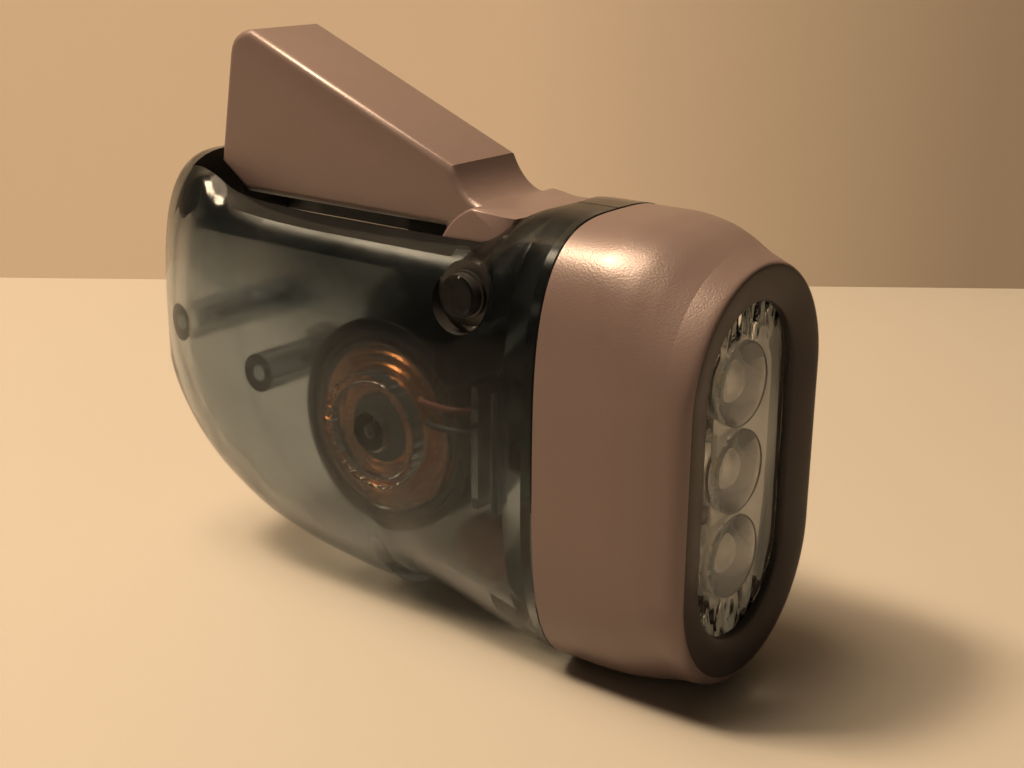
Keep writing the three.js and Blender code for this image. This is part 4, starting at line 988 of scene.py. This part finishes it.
def lever_outline(inset=0.0):
    """The lever's side outline. With an inset, the outline of the hollow in it."""
    bend = (PIVOT[0] - 9.6, PIVOT[1] + 15.1)
    skirt = PIVOT[1] + 6.3
    reach, rise = LEVER_REACH - inset, 16.3 - inset * 1.08
    edge = (PIVOT[0] - LEVER_REACH * 0.855, bend[1] + rise)
    spots = [(PIVOT[0] - reach * 0.9, skirt - (4 if inset else 0)), (PIVOT[0] - reach, skirt + 4.3)]
    start = (PIVOT[0] - reach * 0.945, bend[1] + rise * 0.76)
    pull = (PIVOT[0] - reach * 0.935, bend[1] + rise * 0.99)
    spots += pulled(start, pull, edge, 6, 0)
    spots.append((bend[0] - inset * 0.4, bend[1] - inset * 1.08))
    if inset:
        return spots + [(bend[0] + inset * 0.4, skirt - 4)]
    plateau = bend[1] - 5
    spots += pulled(bend, (bend[0] + 5.4 * 0.35, plateau + 0.75), (bend[0] + 5.4, plateau), 7, 1)
    return spots + [(NOSE_X, plateau), (NOSE_X, PIVOT[1]), (bend[0], PIVOT[1]), (bend[0] - 1.35, skirt)]


def drawn_in(outline, amount):
    """An outline moved inward by an amount."""
    count = len(outline)
    area = sum(
        outline[i][0] * outline[(i + 1) % count][1] - outline[(i + 1) % count][0] * outline[i][1]
        for i in range(count)
    )
    turn = 1 if area > 0 else -1
    moved = []
    for i in range(count):
        a, b, c = outline[i - 1], outline[i], outline[(i + 1) % count]
        one = Vector((a[1] - b[1], b[0] - a[0])).normalized() * turn
        two = Vector((b[1] - c[1], c[0] - b[0])).normalized() * turn
        middle = (one + two).normalized()
        reach = amount / max(middle.dot(one), 0.35)
        moved.append((b[0] + middle.x * reach, b[1] + middle.y * reach))
    return moved


def pillow(name, outline, low, high, radius, steps=5):
    """A prism along Y whose long edges are rounded."""
    rings = []
    near = [(i, low, 1) for i in range(steps + 1)]
    far = [(i, high, -1) for i in range(steps, -1, -1)]
    for i, face, away in near + far:
        turn = i / steps * math.pi / 2
        y = face + away * radius * (1 - math.cos(turn))
        rings.append([(a, y, b) for a, b in drawn_in(outline, radius * (1 - math.sin(turn)))])
    return loft(name, rings)


def hub_of(plateau):
    """The lever's round hub, with a flat top whose front edges slope."""
    guard = []
    for i in range(25):
        x, z = around(PIVOT, 11, math.pi * (1 - i / 24))
        if x < PIVOT[0]:
            guard.append((x, min(z, plateau)))
    hub = pillow("hub", guard + [(NOSE_X, plateau), (NOSE_X, PIVOT[1])], -HUB_HALF, HUB_HALF, 0.5, 3)
    rings = []
    wide = HUB_HALF + 0.1
    for x, drop in ((REAR_X, 0.1), (PIVOT[0] - 4.9, 0.1), (PIVOT[0] + 0.6, 3.2), (FRONT_X, 3.4)):
        knee, shoulder = (wide - drop * 0.25, plateau - drop * 0.2), plateau - drop
        right = [(wide, 0), (wide, shoulder), knee, (wide - drop, plateau)]
        left = [(-y, z) for y, z in reversed(right)]
        rings.append([(x, y, z) for y, z in left[-1:] + right + left[:-1]])
    return combine(hub, loft("roof", rings), "INTERSECT")


def sector_outline():
    """The toothed plate that drives the pinion, in side view."""
    step = 360 / SECTOR_TEETH
    pitch = SECTOR_MODULE * SECTOR_TEETH / 2
    outline = [PIVOT] + [around(PIVOT, 23.6, math.radians(a)) for a in range(152, 184, 4)]
    root, tip = pitch - 0.88, pitch + 0.64
    for i in range(12):
        for lean, radius in ((-0.3, root), (-0.11, tip), (0.11, tip), (0.3, root)):
            angle = 210.7 + (i - 5 + lean) * step
            if 184.7 <= angle <= 215.7:
                outline.append(around(PIVOT, radius, math.radians(angle)))
    return outline


class TORCH_OT_lever(bpy.types.Operator):
    """Squeeze lever with rounded edges, its hub and its toothed sector"""

    bl_idname = "torch.lever"
    bl_label = "Squeeze lever"

    def execute(self, context):
        fillet = context.scene.torch_sizes.lever_fillet
        wedge = pillow("squeeze_lever_cover", lever_outline(), -LEVER_HALF, LEVER_HALF, fillet)
        add(wedge, hub_of(PIVOT[1] + 10.1))
        combine(wedge, prism("plan", slot_outline(-0.4), 40, HEIGHT * 2, "Z"), "INTERSECT")
        inner = prism("inner", lever_outline(WALL), WALL - LEVER_HALF, LEVER_HALF - WALL)
        cavity = rod("cavity", PIVOT, 7.5, -6.95, 6.95, 40)
        foot = block("foot", (PIVOT[0] - 11.6, -6.95, 30), (FRONT_X, 6.95, PIVOT[1]))
        cut(wedge, inner, cavity, foot)
        dress(wedge, "cover", "lever", "squeeze_lever", 35)
        plate = prism("sector_plate", sector_outline(), -1.25, 1.25)
        cut(plate, rod("bore", PIVOT, 2.8, -5, 5), rod("hole", HOOK_HOLE, 0.72, -5, 5, 20))
        rounded(plate, 0.12, 1, 50)
        wall = [(2.25, -HUB_HALF), (3.39, -HUB_HALF), (3.39, HUB_HALF), (2.25, HUB_HALF)]
        works = join("lever_sector", [plate, turned("hub_tube", wall, PIVOT, closed=True)])
        dress(works, "black", "lever", None, 35)
        return {"FINISHED"}


class TORCH_OT_pivot(bpy.types.Operator):
    """Pin that the lever turns on, between the floors of its dishes"""

    bl_idname = "torch.pivot"
    bl_label = "Lever pin"

    def execute(self, context):
        pin = rod("lever_pin_round", PIVOT, 2.0, -15.3, 15.3, 48, 0.35)
        dress(pin, "black", "case", "lever_pin", 40)
        return {"FINISHED"}


class TORCH_OT_spring(bpy.types.Operator):
    """Return spring wound round the lever's hub tube"""

    bl_idname = "torch.spring"
    bl_label = "Return spring"

    def execute(self, context):
        hook_x, hook_z = HOOK_HOLE
        start_y, radius = 2.1, 4.6
        path = [(hook_x, y, hook_z) for y in (-1.5, 0.2, 1.3)]
        path += [(hook_x + x, start_y, hook_z) for x in (0.5, 3, 7)]
        for i in range(67):
            x, z = around(PIVOT, radius, -math.pi / 2 + i / 24 * math.tau)
            path.append((x, start_y + i / 24 * 1.35, z))
        x, y, z = path[-1]
        rest = PILLARS["front"][0] - PILLAR_RADIUS - 0.42 - 0.3
        path += [(x - 0.1, y, z - 3), (rest, y, PIVOT[1] - 8), (rest, y, PIVOT[1] - 11.6)]
        piece = wire("return_spring", path, 0.42, 3)
        dress(piece, "steel", None, "lever_spring")
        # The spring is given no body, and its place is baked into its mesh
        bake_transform(piece)
        return {"FINISHED"}


class TORCH_OT_rotor(bpy.types.Operator):
    """Rotor cup with its ring magnet and shaft"""

    bl_idname = "torch.rotor"
    bl_label = "Rotor"

    def execute(self, context):
        drum = beyond(WEB, (1.06, -1.4), (12.6, -1.4), (14.2, -1.6), (14.6, -2.2))
        drum += beyond(RIM_END, (14.6, 0.15), (14.75, 0), (15.85, 0), (16.0, 0.15))
        drum += beyond(WEB, (16.0, -1.1), (15.7, -0.4), (15.1, 0), (1.06, 0))
        ring = beyond(RIM_END, (13.3, 0.4), (13.35, 0.35), (14.25, 0.3))
        ring += beyond(WEB, (14.3, -2.4), (13.3, -1.75))
        cup = turned("rotor_drum", drum, ROTOR, sides=96, closed=True)
        dress(cup, "dark_steel", "rotor", "rotor_cup", 35)
        magnet = turned("ring_magnet", ring, ROTOR, sides=96, closed=True)
        dress(magnet, "ferrite", "rotor", "rotor_magnet", 35)
        shaft = rod("rotor_axle", ROTOR, 1.0, -16.6, 14.6, 32, 0.2)
        dress(shaft, "dark_steel", "rotor", "rotor_shaft", 40)
        return {"FINISHED"}


class TORCH_OT_coil(bpy.types.Operator):
    """Bobbin and its layers of copper wire, wound as one wire"""

    bl_idname = "torch.coil"
    bl_label = "Coil"

    def execute(self, context):
        outline = [(3.3, -16.5), (7.0, -16.5), (7.0, COIL_START)]
        for y, away in ((COIL_START, 1), (COIL_END, -1)):
            flange = [(12.55, 0), (12.7, 0.15), (12.7, 0.85), (12.55, 1), (5.2, 1)]
            outline += [(radius, y + away * reach) for radius, reach in flange[::away]]
        outline.append((3.3, COIL_END))
        bobbin = turned("winding_bobbin", outline, ROTOR, sides=72, closed=True)
        dress(bobbin, "bobbin", "case", "coil_bobbin", 35)
        sizes = context.scene.torch_sizes
        low, high = COIL_START + 1.35, COIL_END - 1.35
        inner, outer = 5.75, 11.95
        layer_step = (outer - inner) / (sizes.winding_layers - 1)
        wire_radius = min(layer_step, (high - low) / sizes.winding_turns) * 0.49
        climb = 0.04  # share of a layer in which the wire climbs to the next
        steps = 28
        count = sizes.winding_turns * steps
        path = []
        for layer in range(sizes.winding_layers):
            radius = inner + layer * layer_step
            for i in range(count):
                share = i / count
                y = low + (high - low) * (share if layer % 2 == 0 else 1 - share)
                grow = radius + layer_step * max(0, share - 1 + climb) / climb * 0.9
                x, z = around(ROTOR, grow, i / steps * math.tau)
                path.append((x, y, z))
        piece = wire("copper_winding", path, wire_radius, sides=6, straight=True)
        dress(piece, "copper", "case", "coil_winding")
        return {"FINISHED"}


def node_box(node):
    """The low corner, the high corner and the middle of a node's box, in millimetres."""
    low, high = (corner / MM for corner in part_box(node))
    return low, high, (low + high) / 2


class TORCH_OT_circuit(bpy.types.Operator):
    """Round capacitor, diodes and sleeved storage cell"""

    bl_idname = "torch.circuit"
    bl_label = "Circuit pieces"

    def execute(self, context):
        low, high, middle = node_box("capacitor")
        profile = beyond(low.x, (2.2, 0), (2.45, 0.3), (2.45, 0.7), (2.2, 1.0), (2.5, 1.3))
        profile += beyond(high.x, (2.5, -0.4), (2.3, -0.1), (2.0, -0.05), (1.9, -0.2), (0.05, -0.2))
        can = turned("round_capacitor", profile, (middle.y, middle.z), "X", 40)
        dress(can, "black", "case", "capacitor", 40)
        for node in ("lower_diode", "upper_diode"):
            low, high, middle = node_box(node)
            centre = (middle.x, middle.z)
            body = rod(node + "_body", centre, 1.2, low.y, high.y, 28, 0.3)
            ring = beyond(high.y, (1.18, -1.5), (1.23, -1.45), (1.23, -0.85), (1.18, -0.8))
            band = turned(node + "_band", ring, centre, sides=28)
            dress(body, "black", "case", node, 40)
            dress(band, "solder", "case", None, 40)
        middle = node_box("storage_cell")[2]
        cell = rod("sleeved_cell", (middle.x, middle.z), 5.6, -7.5, 7.5, 64, 0.6)
        dress(cell, "sleeve", "case", "storage_cell", 40)
        return {"FINISHED"}


class TORCH_OT_leads(bpy.types.Operator):
    """Leads from the coil to the board and from the board to the lamps"""

    bl_idname = "torch.leads"
    bl_label = "Leads"

    def execute(self, context):
        lead_y = -INNER_WALL + 0.55 + 0.9
        start = BOARD_X + 1.9
        paths = {}
        for i, name in enumerate(("upper", "lower")):
            z = ROTOR[1] + 3.05 * (2 - i)
            out = ROTOR[0] + 8.1 * (1 + i * 0.16)
            spots = [
                (out, COIL_START - 0.35), (out + 0.2, COIL_START - 0.9), (out + 1.3, lead_y),
                (ROTOR[0] + 12, lead_y), (ROTOR[0] + 16, lead_y), (BOARD_X - 3.3, lead_y * 0.82),
                (BOARD_X - 2.2, -9.91), (BOARD_X - 1.2, -9.4), (BOARD_X - 0.3, -9.36),
            ]
            paths[name + "_coil"] = [(x, y, z) for x, y in spots]
        for i, name in enumerate(("left", "right")):
            y = 5.2 * (1 if i else -1)
            spots = [
                (start, 1, 39.0), (start + 1.1, 1, 39.0), (start + 2.2, 1, 39.0), (start + 5, 0.9, 39.5),
                (32.9, 0.7, 40.65), (33.8, 0.7, 40.65), (34.85, 0.7, 40.65),
            ]
            paths[name + "_lamp"] = [(x, y * share, z) for x, share, z in spots]
        colours = (("red", "red_lead"), ("dark", "black_lead"))
        for i, (name, path) in enumerate(paths.items()):
            finish, slot = colours[i % 2]
            dress(wire(name + "_wire", path, 0.5, 8), finish, "case", name + "_lead")
        return {"FINISHED"}


class TORCH_OT_screws(bpy.types.Operator):
    """Four cross-head screws, made once and copied"""

    bl_idname = "torch.screws"
    bl_label = "Screws"

    def execute(self, context):
        seat = 0.28 * HALF
        head = seat + GAP
        top = head + 1.4
        profile = [(0.3, seat - 15), (0.95, seat - 13.1)]
        y = seat - 12.6
        while y < seat - 0.6:
            profile += [(0.82, y), (0.95, y + 0.25), (0.82, y + 0.5)]
            y += 0.55
        profile += beyond(head, (0.95, 0), (1.95, 0), (2.1, 0.2), (2.1, 0.7), (1.8, 1.15))
        profile += [(1.2, top), (0.05, top)]
        model = turned("screw_model", profile, (0, 0), sides=32)
        for x, z in ((1.3, 0.22), (0.22, 1.3)):
            cut(model, block("cross", (-x, top - 0.8, -z), (x, top + 1, z)))
        smooth(model, 35)
        for name, spot in PILLARS.items():
            screw = copied(model, name + "_cross_screw")
            screw.location = (spot[0] * MM, 0, spot[1] * MM)
            bpy.ops.object.transform_apply(location=True, rotation=False, scale=False)
            dress(screw, "steel", "case", name + "_screw")
        bpy.data.objects.remove(model, do_unlink=True)
        return {"FINISHED"}


# Nodes whose shape comes straight from the frame
CARRIED = {
    "lamp_board": "white_board",
    "circuit_board": "board",
    "gear_plate": "steel",
    "drive_pinion": "nylon",
    "first_gear": "nylon",
    "second_gear": "nylon",
    "rotor_pinion": "brass",
    "first_shaft": "steel",
    "second_shaft": "steel",
}


class TORCH_OT_carried(bpy.types.Operator):
    """Finishes for the pieces whose shape comes straight from the frame"""

    bl_idname = "torch.carried"
    bl_label = "Gears, plate and boards"

    def execute(self, context):
        for node, finish in CARRIED.items():
            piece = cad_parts[node]
            piece.data.materials.clear()
            coat(piece, (finish,))
        return {"FINISHED"}


WARM = (1.0, 0.76, 0.50)
ROOM_TINT = (1.0, 0.80, 0.58)


def plain_sheet(name, paint, size, place, turn):
    """A flat part of the stage."""
    bpy.ops.object.select_all(action="DESELECT")
    bpy.ops.mesh.primitive_plane_add(size=size, location=place, rotation=[math.radians(a) for a in turn])
    sheet = bpy.context.object
    sheet.name = name
    sheet.data.materials.append(paint)


def area_light(name, place, aim, size, power, tint=WARM):
    turn = (Vector(aim) - Vector(place)).to_track_quat("-Z", "Y").to_euler()
    bpy.ops.object.light_add(type="AREA", location=place, rotation=turn)
    light = bpy.context.object
    light.name = name
    light.data.size = size
    light.data.energy = power
    light.data.color = tint


def wall_paint(colour):
    """Wall colour with painted light: an emitted glow, standing in for lamp light on the wall, that falls off
    to the right and upward. From behind the wall is clear.
    """
    paint = surface("wall_paint", colour, 0.97, 5, 0.7, 0.05, 200, 0.0)
    tree = paint.node_tree
    shader = tree.nodes["Principled BSDF"]
    spot = axes(tree)
    # Painted light: the emitted glow is strongest at the left and low down
    across = spread(tree, spot["X"], 0.415, 0.085, 0.0, 0.13)
    upward = spread(tree, spot["Y"], 1.0, 0.12, 0.09, 0.22)
    shader.inputs["Emission Color"].default_value = (0.86, 0.53, 0.29, 1)
    tree.links.new(sum_of(tree, "MULTIPLY", across, upward), shader.inputs["Emission Strength"])
    behind = tree.nodes.new("ShaderNodeNewGeometry")
    split_surface(tree, behind.outputs["Backfacing"], shader, tree.nodes.new("ShaderNodeBsdfTransparent"))
    return paint


class TORCH_OT_stage(bpy.types.Operator):
    """Table top, backdrop (clear from behind), soft lights and the camera"""

    bl_idname = "torch.stage"
    bl_label = "Stage"

    def execute(self, context):
        scene, stage = context.scene, context.scene.torch_stage
        fixed = {"Specular IOR Level": 0.3}
        floor_paint = surface("table_paint", stage.floor_colour, 0.97, 4, 0.5, 0.04, 300, 0.0, fixed=fixed)
        plain_sheet("table_top", floor_paint, 3, (-0.35, 0.45, 0), (0, 0, 0))
        plain_sheet("backdrop", wall_paint(stage.wall_colour), 3.5, (-0.1076, 0.1544, 0), (90, 0, 36.505))

        area_light("key_light", (-0.34, -0.235, 0.83), (0, 0, 0.03), 0.17, stage.key_power)
        area_light("room_light", (0.78, -0.14, 0.16), (0.04, 0, 0.03), 0.4, stage.room_power, ROOM_TINT)
        area_light("top_light", (-0.14, -0.10, 0.80), (0, 0, 0.03), 0.30, stage.top_power)

        scene.world = bpy.data.worlds.new("room")
        scene.world.use_nodes = True
        background = scene.world.node_tree.nodes["Background"]
        background.inputs["Color"].default_value = (*WARM, 1)
        background.inputs["Strength"].default_value = 0.035

        # Fitted to the photograph's edges
        turn = [math.radians(a) for a in (71.53247, -0.34516, 37.66071)]
        bpy.ops.object.camera_add(location=(0.1366619, -0.163455, 0.1038975), rotation=turn)
        scene.camera = bpy.context.object
        lens = scene.camera.data
        lens.sensor_fit, lens.sensor_width, lens.lens = "HORIZONTAL", 36, 51.497
        lens.clip_start, lens.clip_end = 0.005, 20
        scene.view_settings.view_transform = "Standard"
        return {"FINISHED"}


OPERATORS = (
    TORCH_OT_case, TORCH_OT_head, TORCH_OT_bezel, TORCH_OT_lens, TORCH_OT_lamps, TORCH_OT_lever,
    TORCH_OT_pivot, TORCH_OT_spring, TORCH_OT_rotor, TORCH_OT_coil, TORCH_OT_circuit, TORCH_OT_leads,
    TORCH_OT_screws, TORCH_OT_carried, TORCH_OT_stage,
)


class VIEW3D_PT_torch(bpy.types.Panel):
    """Lists the torch's pieces in the sidebar"""

    bl_label = "Squeeze torch"
    bl_idname = "VIEW3D_PT_torch"
    bl_space_type = "VIEW_3D"
    bl_region_type = "UI"
    bl_category = "Torch"

    def draw(self, context):
        layout = self.layout
        scene = context.scene
        for settings in (scene.torch_finishes, scene.torch_sizes, scene.torch_stage):
            box = layout.box()
            for name in settings.bl_rna.properties.keys():
                if name not in {"rna_type", "name"}:
                    box.prop(settings, name)
        for operator in OPERATORS:
            layout.operator(operator.bl_idname)


GROUPS = (("torch_finishes", TorchFinishes), ("torch_sizes", TorchSizes), ("torch_stage", TorchStage))


def register():
    for name, group in GROUPS:
        bpy.utils.register_class(group)
        setattr(bpy.types.Scene, name, bpy.props.PointerProperty(type=group))
    for operator in OPERATORS:
        bpy.utils.register_class(operator)
    bpy.utils.register_class(VIEW3D_PT_torch)


def unregister():
    bpy.utils.unregister_class(VIEW3D_PT_torch)
    for operator in reversed(OPERATORS):
        bpy.utils.unregister_class(operator)
    for name, group in reversed(GROUPS):
        delattr(bpy.types.Scene, name)
        bpy.utils.unregister_class(group)


def main():
    register()
    for operator in OPERATORS:
        group, name = operator.bl_idname.split(".")
        getattr(getattr(bpy.ops, group), name)()


if __name__ == "__main__":
    main()
